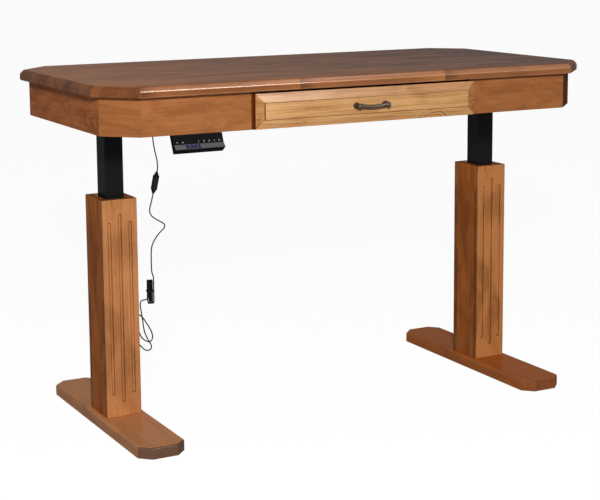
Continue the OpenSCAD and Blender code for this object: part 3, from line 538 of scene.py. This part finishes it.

# %% Paint the lap's shadow and finish the corner boards
strip_w, strip_fade = 0.009, 0.003
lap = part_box("drawer_front")[0].x
tree, board = opened(bpy.data.materials["apron_front_left_wood"])
x = point_of(tree)["X"]
# Painted shadow: a dark line with a deeper colour on the left front board, beside the drawer front's lap.
painted_shadow_line = maths(tree, "MINIMUM", spread(tree, x, lap - strip_w, lap - strip_w + strip_fade),
                 spread(tree, x, lap, lap + strip_fade, 1.0, 0.2))
feed(board, stain=painted_shadow_line, deep=blend(tree, painted_shadow_line, srgb(*brown), srgb(100, 44, 12)))

corner_wood = wood("corner_wood", "dzs", middle_of("apron_corners"), orange, brown, ring_gap=0.005,
                   pith_shift=0.1, ring_contrast=0.25)
tree, board = opened(corner_wood)
x = point_of(tree)["X"]
# Painted shade: the right corner boards are stained darker and given less varnish than the left ones.
feed(board, stain=spread(tree, x, -0.1, 0.1, 0.1, 0.5), varnish=spread(tree, x, -0.1, 0.1, 0.07, 0.01))
dress(corner_wood, "apron_corners")
print("the lap lies", round(-lap, 3), "m left of the middle")

# %% [markdown]
# ## The drawer
#
# The drawer front is cut from paler wood than the apron, with strong dark pores.

# %% Cut the drawer front's wood
honey, amber = (244, 190, 128), (160, 98, 52)
front_wood = wood("drawer_front_wood", "xzy", middle_of("drawer_front"), honey, amber, polish=0.24,
                  ring_gap=0.0045, ring_contrast=0.22, pith_shift=0.045, pith_depth=0.03, slope=0.05,
                  ring_wobble=1.4, pore_contrast=0.32)
dress(front_wood, "drawer_front")
print("drawer front dressed in", front_wood.name)

# %% [markdown]
# The front has a raised field with bevels round it. A dark line just below the field is painted shadow, as if
# the raised field cast it. The faces that don't look forward, such as the field's raised edge and the cut
# ends, are darkened with a deeper colour as painted shade. The bevels are browner than the field. The top
# bevel is glossy, because it faces the light. These places could be painted on a mask, but the field's edge
# is known, so the distance past it and the way each face looks find them exactly.

# %% Stain the drawer front
bevel_w, line_w, line_fade = 0.025, 0.0014, 0.0008
low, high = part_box("drawer_front")
tree, board = opened(front_wood)
place = put(tree, "TexCoord").outputs["Object"]
from_middle = put(tree, "VectorMath", [place, tuple((low + high) / 2)], operation="SUBTRACT").outputs[0]
x, _, z = put(tree, "SeparateXYZ", [from_middle]).outputs
past_side = maths(tree, "SUBTRACT", maths(tree, "ABSOLUTE", x), (high.x - low.x) / 2 - bevel_w)
past_top = maths(tree, "SUBTRACT", maths(tree, "ABSOLUTE", z), (high.z - low.z) / 2 - bevel_w)
past_field = maths(tree, "MAXIMUM", past_side, past_top)
# Painted shadow: a thin dark line just outside the field's lower part.
painted_shadow_line = maths(tree, "MULTIPLY", spread(tree, past_field, 0.0, 0.0003),
                 spread(tree, past_field, line_w, line_w + line_fade, 1.0, 0.0))
painted_shadow_line = maths(tree, "MULTIPLY", painted_shadow_line, spread(tree, z, 0.018, 0.022, 0.9, 0.0))
face = face_of(tree)
# Painted shade: faces that don't look forward are darkened here, and further down they are given a deeper
# colour.
step_shade = spread(tree, maths(tree, "ABSOLUTE", face["Y"]), 0.5, 0.9, 1.0, 0.0)
top_bevel = spread(tree, face["Z"], 0.1, 0.2)
end_bevel = spread(tree, maths(tree, "ABSOLUTE", face["X"]), 0.1, 0.2)
stain = maths(tree, "MULTIPLY_ADD", top_bevel, 0.38, maths(tree, "MAXIMUM", painted_shadow_line, step_shade))
stain = maths(tree, "MULTIPLY_ADD", end_bevel, 0.45, stain)
print("the raised field is", round(high.x - low.x - 2 * bevel_w, 3), "m wide")

# %% [markdown]
# One arched figure shows at the drawer's lower right. It could come out of the tree's rings by chance, but it
# is surer to draw it as rings round a point below the board's edge. A little noise makes the rings uneven,
# and they fade with their distance from that point.

# %% Draw the arched figure
figure_middle, figure_scale = (0.212, 0.0, -0.058), (17.0, 0.0, 27.0)
arch_gap, waver = 0.11, 0.35
whole_to, gone_from = 0.9, 1.25
reach = put(tree, "VectorMath", [from_middle, figure_middle], operation="SUBTRACT").outputs[0]
reach = put(tree, "VectorMath", [reach, figure_scale], operation="MULTIPLY").outputs[0]
reach = put(tree, "VectorMath", [reach], operation="LENGTH").outputs["Value"]
uneven = put(tree, "TexNoise", {"Vector": from_middle, "Scale": 45.0, "Detail": 2.0}).outputs["Fac"]
reach = maths(tree, "MULTIPLY_ADD", uneven, waver, reach)
arches = spread(tree, maths(tree, "PINGPONG", reach, arch_gap), 0.03, 0.09, 0.5, 0.0)
arches = maths(tree, "MULTIPLY", arches, spread(tree, reach, whole_to, gone_from, 1.0, 0.0))
feed(board, stain=maths(tree, "ADD", stain, arches),
     varnish=maths(tree, "MULTIPLY_ADD", top_bevel, 0.3, 0.15),
     deep=blend(tree, step_shade, srgb(*amber), srgb(92, 44, 24)))
print("the drawer front's material has", len(tree.nodes), "nodes")

# %% Finish the drawer box
birch, tan = (222, 190, 145), (186, 146, 98)
box_boards = {"drawer_sides": "yzx", "drawer_cheeks": "yzx", "drawer_back": "xzy", "drawer_bottom": "xyz"}
for name, order in box_boards.items():
    dress(wood(name + "_wood", order, middle_of(name), birch, tan, varnish=0.05), name)
print("drawer boards finished:", len(box_boards))

# %% [markdown]
# ## The legs and feet
#
# Each leg is a sleeve of four upright boards round a steel column, on a foot that runs from front to back.
# The flutes' steep flanks and the other faces of the front and back boards that look neither forward nor back
# are darkened as painted shade. A flank is known by the way its face looks, which finds every flute wherever
# it is. The right sleeve's front and back faces are lightened as painted light, and its wood is wilder than
# the left one's. The feet's tops are paler as a painted sheen, and the left foot's front end is nearly brown.

# %% Finish the legs and feet
def paint_light_and_shade_by_side(made, axis, elsewhere, there, low=0.8, high=0.92):
    """Paints light and shade as stain: there on faces along an axis, either way, elsewhere on the rest."""
    tree, board = opened(made)
    turned = maths(tree, "ABSOLUTE", face_of(tree)[axis])
    feed(board, stain=spread(tree, turned, low, high, elsewhere, there))


for leg, pale, wildness, painted_front_light in (("left_", (216, 146, 92), 0.42, 0.0),
                                         ("right_", (212, 140, 82), 0.7, -0.28)):
    for name in (leg + "sleeve_front", leg + "sleeve_back"):
        board_wood = wood(name + "_wood", "zxy", middle_of(name), pale, (128, 74, 38),
                          ring_gap=0.005, ring_contrast=0.1, pith_shift=0.03, slope=0.03,
                          blotch_contrast=wildness, blotch_scale=12.0, pore_contrast=0.15,
                          curl_contrast=wildness / 5)
        # Painted shade on faces that look neither forward nor back, such as the flutes' flanks; painted light
        # on the right sleeve's front and back faces.
        paint_light_and_shade_by_side(board_wood, "Y", elsewhere=0.5, there=painted_front_light, low=0.75, high=0.97)
        dress(board_wood, name)
    name = leg + "sleeve_sides"
    dress(wood(name + "_wood", "zyx", middle_of(name), (194, 114, 54), (116, 58, 24), ring_gap=0.007,
               ring_contrast=0.12, pith_depth=0.3, blotch_contrast=0.5, blotch_scale=14.0,
               varnish=0.05), name)
for name, pale, deep, end_contrast, varnish in (("left_foot", (218, 148, 96), (116, 84, 64), 0.8, 0.14),
                                                ("right_foot", (200, 115, 50), (118, 72, 50), 0.3, 0.1)):
    foot_wood = wood(name + "_wood", "yxz", middle_of(name), pale, deep, ring_gap=0.006, ring_contrast=0.14,
                     end_contrast=end_contrast, varnish=varnish)
    # Painted sheen: the feet's tops are stained paler, and all other faces a little darker.
    paint_light_and_shade_by_side(foot_wood, "Z", elsewhere=0.05, there=-0.3)
    dress(foot_wood, name)
print("leg boards and feet finished")

# %% [markdown]
# ## Metal and plastic
#
# Powder coat and moulded plastic are plain colours with a fine skin: noise in the roughness and a shallow
# bump keep their highlights from looking computer-smooth. One group makes that skin for both.

# %% Build the skin group
skin_group, given, result = open_group(
    "fine_skin",
    {"Place": (0.0, 0.0, 0.0), "Grain": 900.0, "Tint": (0.05, 0.05, 0.05, 1.0), "Dust": (0.1, 0.1, 0.1, 1.0),
     "Smooth": 0.35, "Rough": 0.5},
    {"Color": "Color", "Roughness": "Float", "Height": "Float"})
g = skin_group
speck = put(g, "TexNoise", {"Vector": given["Place"], "Scale": given["Grain"], "Detail": 2.0}).outputs["Fac"]
cloud = put(g, "TexNoise", {"Vector": given["Place"], "Scale": 14.0, "Detail": 3.0}).outputs["Fac"]
g.links.new(blend(g, spread(g, cloud, 0.4, 0.75, 0.0, 0.6), given["Tint"], given["Dust"]), result["Color"])
g.links.new(spread(g, cloud, 0.35, 0.7, given["Smooth"], given["Rough"]), result["Roughness"])
g.links.new(speck, result["Height"])
print("the skin group has", len(g.nodes), "nodes")


# %% Define metal and plastic
def skin(name, tint, dust, smooth, rough, grain=900.0, metal=0.0, bump=0.2, gloss=0.15):
    """A coated, plated or moulded surface. Soft clouds take it from tint to dust and from smooth to rough."""
    made, tree, shader = new_material(name)
    coat = put(tree, "Group", node_tree=skin_group)
    feed(coat, place=put(tree, "TexCoord").outputs["Object"], grain=grain, tint=srgb(*tint),
         dust=srgb(*dust), smooth=smooth, rough=rough)
    relief = put(tree, "Bump", {"Strength": bump, "Distance": 0.0001, "Height": coat.outputs["Height"]})
    fill(shader, {"Base Color": coat.outputs["Color"], "Roughness": coat.outputs["Roughness"],
                  "Normal": relief.outputs[0], "Metallic": metal, "Specular IOR Level": 0.0,
                  "Coat Weight": gloss, "Coat Roughness": smooth})
    return made


black_coat = skin("black_powder_coat", (20, 20, 21), (32, 32, 33), 0.32, 0.45, gloss=0.1)
zinc = skin("zinc_plate", (196, 198, 200), (160, 162, 160), 0.28, 0.45, grain=300, metal=1)
rolled = skin("rolled_steel", (205, 206, 208), (170, 168, 160), 0.2, 0.35, grain=200, metal=1)
casting = skin("painted_casting", (24, 25, 26), (38, 38, 38), 0.45, 0.6, grain=500)
moulded = skin("moulded_black", (22, 23, 24), (34, 35, 36), 0.4, 0.55)
nylon = skin("black_nylon", (28, 28, 28), (44, 43, 41), 0.5, 0.65)
bronze = skin("dark_bronze", (80, 71, 63), (50, 44, 38), 0.3, 0.42, grain=260, metal=0.6, bump=0.35,
              gloss=0.0)
jacket = skin("lead_jacket", (20, 20, 21), (34, 34, 35), 0.4, 0.55, grain=1500)
print("materials so far:", len(bpy.data.materials))

# %% Finish the metal and plastic pieces
for leg in ("left_", "right_"):
    dress(black_coat, leg + "outer_tube", leg + "inner_tube", leg + "bracket")
    dress(zinc, leg + "foot_bolts", leg + "nut_tube")
    dress(rolled, leg + "lead_screw")
    dress(casting, leg + "drive")
    dress(moulded, leg + "collar")
    dress(nylon, leg + "glides")
dress(black_coat, "cross_rails")
dress(zinc, "bracket_screws", "slide_cabinet_members", "slide_middle_members", "slide_drawer_members")
dress(moulded, "control_box", "cord_plug", "cord_connector")
dress(bronze, "drawer_pull")
supply_lead.data.materials.append(jacket)
print("metal and plastic pieces dressed")

# %% [markdown]
# ## The handset
#
# The handset is moulded in near-black plastic. The ledge where its display sits faces upward and is painted a
# lighter grey, as a painted reflection of the light from above. The ledge is told from the rest by the way
# its face looks, which no other face of the handset does.

# %% Finish the handset
shell_black, shell_dust = (14, 17, 19), (20, 23, 25)
shell = skin("handset_shell", shell_black, shell_dust, 0.25, 0.4, gloss=0.03)
tree, coat = opened(shell)
# Painted light: the upward-facing ledge where the display sits is a lighter grey.
painted_ledge_light = spread(tree, face_of(tree)["Z"], 0.52, 0.62)
feed(coat, tint=blend(tree, painted_ledge_light, srgb(*shell_black), srgb(104, 104, 106)),
     dust=blend(tree, painted_ledge_light, srgb(*shell_dust), srgb(90, 90, 92)))
key_cap = skin("key_caps", (20, 23, 25), (28, 31, 33), 0.3, 0.42, gloss=0.03)
window = skin("display_window", (40, 40, 70), (34, 34, 60), 0.12, 0.2, bump=0.0)
dress(shell, "handset_housing")
dress(window, "handset_display")
keys = ["key_up", "key_down", "key_1", "key_2", "key_3", "key_4", "key_m"]
dress(key_cap, *keys)
print("keys dressed:", len(keys))

# %% [markdown]
# ## The marks on the keys and the display
#
# The keys carry two arrows, four numbers and an M, and the display shows a height. A font could draw them,
# but a few strokes are simpler and stay sharp at any size. Each stroke is a flat ribbon that lies a hair
# above its key and moves with it. A ribbon's corners are mitred, so that it is one clean band.

# %% Draw ribbons on a sloping face
def ribbon(drawing, points, width, origin, up, lift=0.15, sharpest=0.3):
    """A flat band along points in millimetres, right of origin and up its face, with mitred corners."""
    right, up = Vector((1, 0, 0)), Vector(up).normalized()
    out = right.cross(up)
    points = [Vector(p) for p in points]
    rows = []
    for i, point in enumerate(points):
        after = (points[i + 1] - point).normalized() if i + 1 < len(points) else None
        before = (point - points[i - 1]).normalized() if i else after
        mean = (before + (after or before)) / 2
        side = Vector((-mean.y, mean.x)) / max(mean.length_squared, sharpest) * width / 2
        rows.append([drawing.verts.new((origin + (p.x * right + p.y * up + lift * out)) * MM)
                     for p in (point - side, point + side)])
    for (a, b), (c, d) in zip(rows, rows[1:]):
        drawing.faces.new((a, c, d, b))


def new_piece(name, drawing, material, body):
    """Turns finished mesh work into a piece that rides on a body."""
    mesh = bpy.data.meshes.new(name)
    drawing.to_mesh(mesh)
    drawing.free()
    mesh.materials.append(material)
    made = add_object(name, mesh)
    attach(made, body)
    return made


print("ribbons are drawn in millimetres")

# %% Mark the keys
print_white = skin("key_print", (196, 198, 198), (170, 172, 172), 0.4, 0.6)
strokes = {
    "key_up": [(-1.2, -0.6), (0, 0.7), (1.2, -0.6)],
    "key_down": [(-1.2, 0.6), (0, -0.7), (1.2, 0.6)],
    "key_1": [(-0.6, 0.6), (0, 1), (0, -1)],
    "key_4": [(0.5, -1), (0.5, 1), (-0.9, -0.4), (1, -0.4)],
    "key_2": [(-0.8, 0.6), (-0.4, 1), (0.4, 1), (0.8, 0.6), (0.8, 0.2), (-0.8, -1), (0.9, -1)],
    "key_3": [(-0.8, 1), (0.8, 1), (0, 0.2), (0.5, 0.1), (0.8, -0.3), (0.8, -0.6), (0.4, -1), (-0.4, -1),
              (-0.8, -0.7)],
    "key_m": [(-1, -1), (-1, 1), (0, -0.3), (1, 1), (1, -1)]}
mark_wide, mark_tall, mark_stroke = 1.5, 2.2, 0.8
key_row, key_height = 5.5, 1.4
face_foot, face_up = Vector((0, -358, 818)), Vector((0, 10, 24)).normalized()
face_out = Vector((1, 0, 0)).cross(face_up)
for name, points in strokes.items():
    key_x = middle_of(name).x / MM
    at = Vector((key_x, 0, 0)) + face_foot + key_row * face_up + key_height * face_out
    drawing = bmesh.new()
    ribbon(drawing, [(mark_wide * x, mark_tall * y) for x, y in points], mark_stroke, at, face_up)
    new_piece(name + "_mark", drawing, print_white, name.replace("key", "button"))
print("marks:", len(strokes))

# %% Show a height on the display
dim_blue = skin("display_digits", (112, 110, 150), (96, 94, 136), 0.2, 0.3, bump=0.0)
bars = {"a": [(-1, 2), (1, 2)], "b": [(1, 2), (1, 0)], "c": [(1, 0), (1, -2)], "d": [(-1, -2), (1, -2)],
        "e": [(-1, 0), (-1, -2)], "f": [(-1, 2), (-1, 0)], "g": [(-1, 0), (1, 0)]}
digits, decimal_point = ((-11, "abcdfg"), (-1, "abc"), (11, "abdeg")), [(4.9, -3.8), (5.9, -3.8)]
digit_wide, digit_tall, digit_stroke = 2.6, 1.9, 0.9
window_height = 0.8
window_up = Vector((0, 1, 1)).normalized()
window_out = Vector((1, 0, 0)).cross(window_up)
window_middle = middle_of("handset_display") / MM + window_height * window_out
drawing = bmesh.new()
for digit_x, lit in digits:
    for bar in lit:
        points = [(digit_x + digit_wide * x, digit_tall * y) for x, y in bars[bar]]
        ribbon(drawing, points, digit_stroke, window_middle, window_up)
ribbon(drawing, decimal_point, digit_stroke, window_middle, window_up)
new_piece("display_digits", drawing, dim_blue, "top")
print("the display shows 97.2")

# %% [markdown]
# ## The tie round the hank
#
# The hank is held by a plastic-covered wire tie. The tie goes once round the bundle, and its two ends are
# twisted together. A bevelled curve would make it round, but the tie is flat, so it is one flat band swept
# round a rounded rectangle, and a second one that turns as it goes outward.

# %% Sweep a flat band
def band(drawing, places, closed):
    """Joins rows of four corners into a solid band. Each place is its middle, half width and half depth."""
    rows = [[drawing.verts.new((middle + a * wide + b * thick) * MM)
             for a, b in ((-1, -1), (1, -1), (1, 1), (-1, 1))] for middle, wide, thick in places]
    for first, second in zip(rows, rows[1:] + rows[:1] * closed):
        for k in range(4):
            drawing.faces.new((first[k], first[(k + 1) % 4], second[(k + 1) % 4], second[k]))
    if not closed:
        drawing.faces.new(rows[0])
        drawing.faces.new(rows[-1][::-1])
    bmesh.ops.recalc_face_normals(drawing, faces=drawing.faces)


def rounded_place(angle, half_w, half_h, radius):
    """The point of a rounded rectangle in the direction of angle from its nearest corner's middle."""
    c, s = math.cos(angle), math.sin(angle)
    return math.copysign(half_w - radius, c) + radius * c, math.copysign(half_h - radius, s) + radius * s


print("bands are made of rows of four corners")

# %% Tie the hank
slack, above_middle = 0.5, 2
tie_steps, tie_corner, tie_half_w, tie_half_d = 40, 5, 1.8, 0.35
upright = Vector((0, 0, 1))
tie_middle = gland + hank_mid + above_middle * upright
half_across = hank_loops / 2 * hank_pitch + lead_d / 2 + slack
half_inward = hank_fold + lead_d / 2 + slack
drawing = bmesh.new()
places = []
for k in range(tie_steps):
    angle = 2 * math.pi * (k + 0.5) / tie_steps
    u, v = rounded_place(angle, half_across, half_inward, tie_corner)
    outward = math.cos(angle) * across + math.sin(angle) * inward
    places.append((tie_middle + u * across + v * inward, tie_half_w * upright, tie_half_d * outward))
band(drawing, places, closed=True)
print("the tie's band is", round(2 * half_across, 1), "by", round(2 * half_inward, 1), "mm")

# %% Twist the tie's ends
twist_steps, twist_turn, twist_step = 25, 36, 0.6
twist_half_w, twist_half_d, droop = 1.5, 0.5, 0.02
places = []
for k in range(twist_steps):
    spin = math.radians(twist_turn * k)
    places.append((tie_middle - (half_inward + twist_step * k) * inward - droop * k * k * upright,
                   twist_half_w * (math.cos(spin) * upright + math.sin(spin) * across),
                   twist_half_d * (math.cos(spin) * across - math.sin(spin) * upright)))
band(drawing, places, closed=False)
hank_tie = new_piece("hank_tie", drawing, nylon, "top")
print("tie faces:", len(hank_tie.data.polygons))

# %% [markdown]
# ## Softer edges
#
# No real edge is perfectly sharp: wood is sanded and moulded parts have radii. A small bevel lets each edge
# catch the light. The bevel is a modifier, so the CAD mesh under it stays as it was. The weld before it joins
# the corners that the file format keeps apart. A board with holes or flutes can't be bevelled everywhere,
# because the short edges round a hole leave no room. There only the corners of the outline are named in a
# group, the flat triangles between them are merged, and the bevel works on that group.

# %% Define how edges are eased
outline_reach, join_within = 13 * MM, 0.01 * MM
flat_below, sharp_above = math.radians(0.5), math.radians(32)


def on_outline(name):
    """The corners of a piece that lie near two sides of its box or more."""
    low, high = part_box(name)
    return [v.index for v in nodes[name].data.vertices
            if sum(min(v.co[k] - low[k], high[k] - v.co[k]) < outline_reach for k in range(3)) > 1]


def ease(width, *names, segments=2, outline=False):
    """Rounds a piece's sharp edges by a small width, in millimetres, or the edges of its outline alone."""
    for name in names:
        piece = nodes[name]
        weld = piece.modifiers.new("join_corners", "WELD")
        weld.merge_threshold = join_within
        if outline:
            piece.vertex_groups.new(name="outline").add(on_outline(name), 1.0, "REPLACE")
            flat = piece.modifiers.new("flat_faces", "DECIMATE")
            flat.decimate_type = "DISSOLVE"
            flat.angle_limit = flat_below
        bevel = piece.modifiers.new("eased_edges", "BEVEL")
        bevel.width = width * MM
        bevel.segments = segments
        bevel.limit_method = "VGROUP" if outline else "ANGLE"
        bevel.vertex_group = "outline" if outline else ""
        bevel.use_clamp_overlap = not outline
        bevel.angle_limit = sharp_above
        bevel.harden_normals = True


print("an outline reaches", round(outline_reach / MM), "mm in")

# %% Ease the edges
ease(4.2, "desktop", segments=5, outline=True)
ease(2, "left_foot", "right_foot", segments=3, outline=True)
ease(1.2, "apron_left", "apron_right", "apron_front_left", "apron_front_right", "apron_back",
     "apron_corners", "left_sleeve_back", "right_sleeve_back")
ease(0.6, "drawer_front")
ease(1.5, "left_sleeve_front", "right_sleeve_front", outline=True)
ease(0.8, "left_sleeve_sides", "right_sleeve_sides", "control_box")
ease(0.5, *keys)
print("pieces with eased edges:", sum("eased_edges" in o.modifiers for o in nodes.values()))

# %% [markdown]
# ## Declare what rides where
#
# The lead hangs from the top and goes up and down with it, and so do its connector and plug.

# %% Attach the new pieces
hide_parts("cord_pigtail", "cord_lead", "cord_hank", "cord_tail")
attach(supply_lead, "top")
print("new pieces attached")

# %% [markdown]
# ## Floor and world
#
# The desk stands on a plain pale floor. Floor and world look white to the camera and in reflections, and give
# the desk only a little grey light, so that the lamps shape it. A brighter floor would be simpler, but it
# would light the desk from below. Part of the floor's own colour stays, so the desk keeps its shadow.

# %% Lay the floor
def white_to_camera(tree, amount, strength, light, output):
    """Mixes white into what camera, glossy and transmission rays see, and leaves the light for all others."""
    rays = put(tree, "LightPath").outputs
    shiny = maths(tree, "MAXIMUM", rays["Is Glossy Ray"], rays["Is Transmission Ray"])
    seen = maths(tree, "MAXIMUM", rays["Is Camera Ray"], shiny)
    kind = "Background" if output == "World Output" else "Emission"
    white = put(tree, kind, {"Color": (1, 1, 1, 1), "Strength": strength}).outputs[0]
    mixed = put(tree, "MixShader", [maths(tree, "MULTIPLY", seen, amount), light, white])
    tree.links.new(mixed.outputs[0], tree.nodes[output].inputs["Surface"])


floor_radius = 40
sheet = bmesh.new()
bmesh.ops.create_circle(sheet, cap_ends=True, segments=64, radius=floor_radius)
floor_mesh = bpy.data.meshes.new("floor")
sheet.to_mesh(floor_mesh)
sheet.free()
floor = add_object("floor", floor_mesh)
floor_material, tree, shader = new_material("pale_floor")
fill(shader, {"Base Color": (0.5, 0.5, 0.5, 1), "Roughness": 0.9, "Specular IOR Level": 0.0})
white_to_camera(tree, amount=0.7, strength=1.34, light=shader.outputs[0], output="Material Output")
floor_mesh.materials.append(floor_material)
print("floor laid,", 2 * floor_radius, "m across")

# %% Light the room
room_light = 0.13
world = bpy.data.worlds.new("studio")
bpy.context.scene.world = world
world.use_nodes = True
tree = world.node_tree
soft_light = put(tree, "Background", {"Color": (1.0, 0.98, 0.96, 1), "Strength": room_light}).outputs[0]
white_to_camera(tree, amount=1.0, strength=1.0, light=soft_light, output="World Output")
print("the room's light is", room_light, "of white")

# %% [markdown]
# ## Lamps
#
# In the photograph the shadow under the desktop is thin and the top is darker than the fronts, so the main
# lamp stands low, close to the camera's own direction. The front boards get most of its light, the left faces
# about half and the right faces none. A varnished edge shows the lamps as bright lines. Lamps that show in
# reflections alone draw those lines, because one lamp bright enough for them would wash out the wood.

# %% Place the lamps
def lamp(name, place, target, size, watts, colour=(1, 1, 1), shine_only=False):
    """A soft rectangular lamp at place, aimed at target. One with shine_only shows in reflections alone."""
    light = bpy.data.lights.new(name, "AREA")
    light.shape = "RECTANGLE"
    light.size, light.size_y = size
    light.energy = watts
    light.color = colour
    made = add_object(name, light)
    made.location = place
    made.visible_diffuse = not shine_only
    made.rotation_euler = (Vector(target) - Vector(place)).to_track_quat("-Z", "Y").to_euler()


lamp("front_lamp", (-2.5, -4.7, 2.55), (0, 0, 0.7), size=(0.6, 0.6), watts=208)
lamp("edge_shine", (0.98, -3.8, 2.2), (-0.4, -0.39, 0.95), size=(1.4, 1.3), watts=155,
     colour=(1.0, 0.88, 0.74), shine_only=True)
lamp("edge_glow", (2.65, -3.8, 2.2), (0.3, -0.39, 0.95), size=(1.7, 1.3), watts=22,
     colour=(1.0, 0.8, 0.58), shine_only=True)
lamp("ceiling_shine", (0.9, -0.7, 2.9), (-0.2, -0.38, 0.97), size=(2.6, 0.5), watts=7, shine_only=True)
print("lamps:", len(bpy.data.lights))

# %% [markdown]
# ## Finish
#
# The Standard view shows each colour about as it was written.

# %% Finish
bpy.context.scene.view_settings.view_transform = "Standard"
bpy.context.view_layer.update()
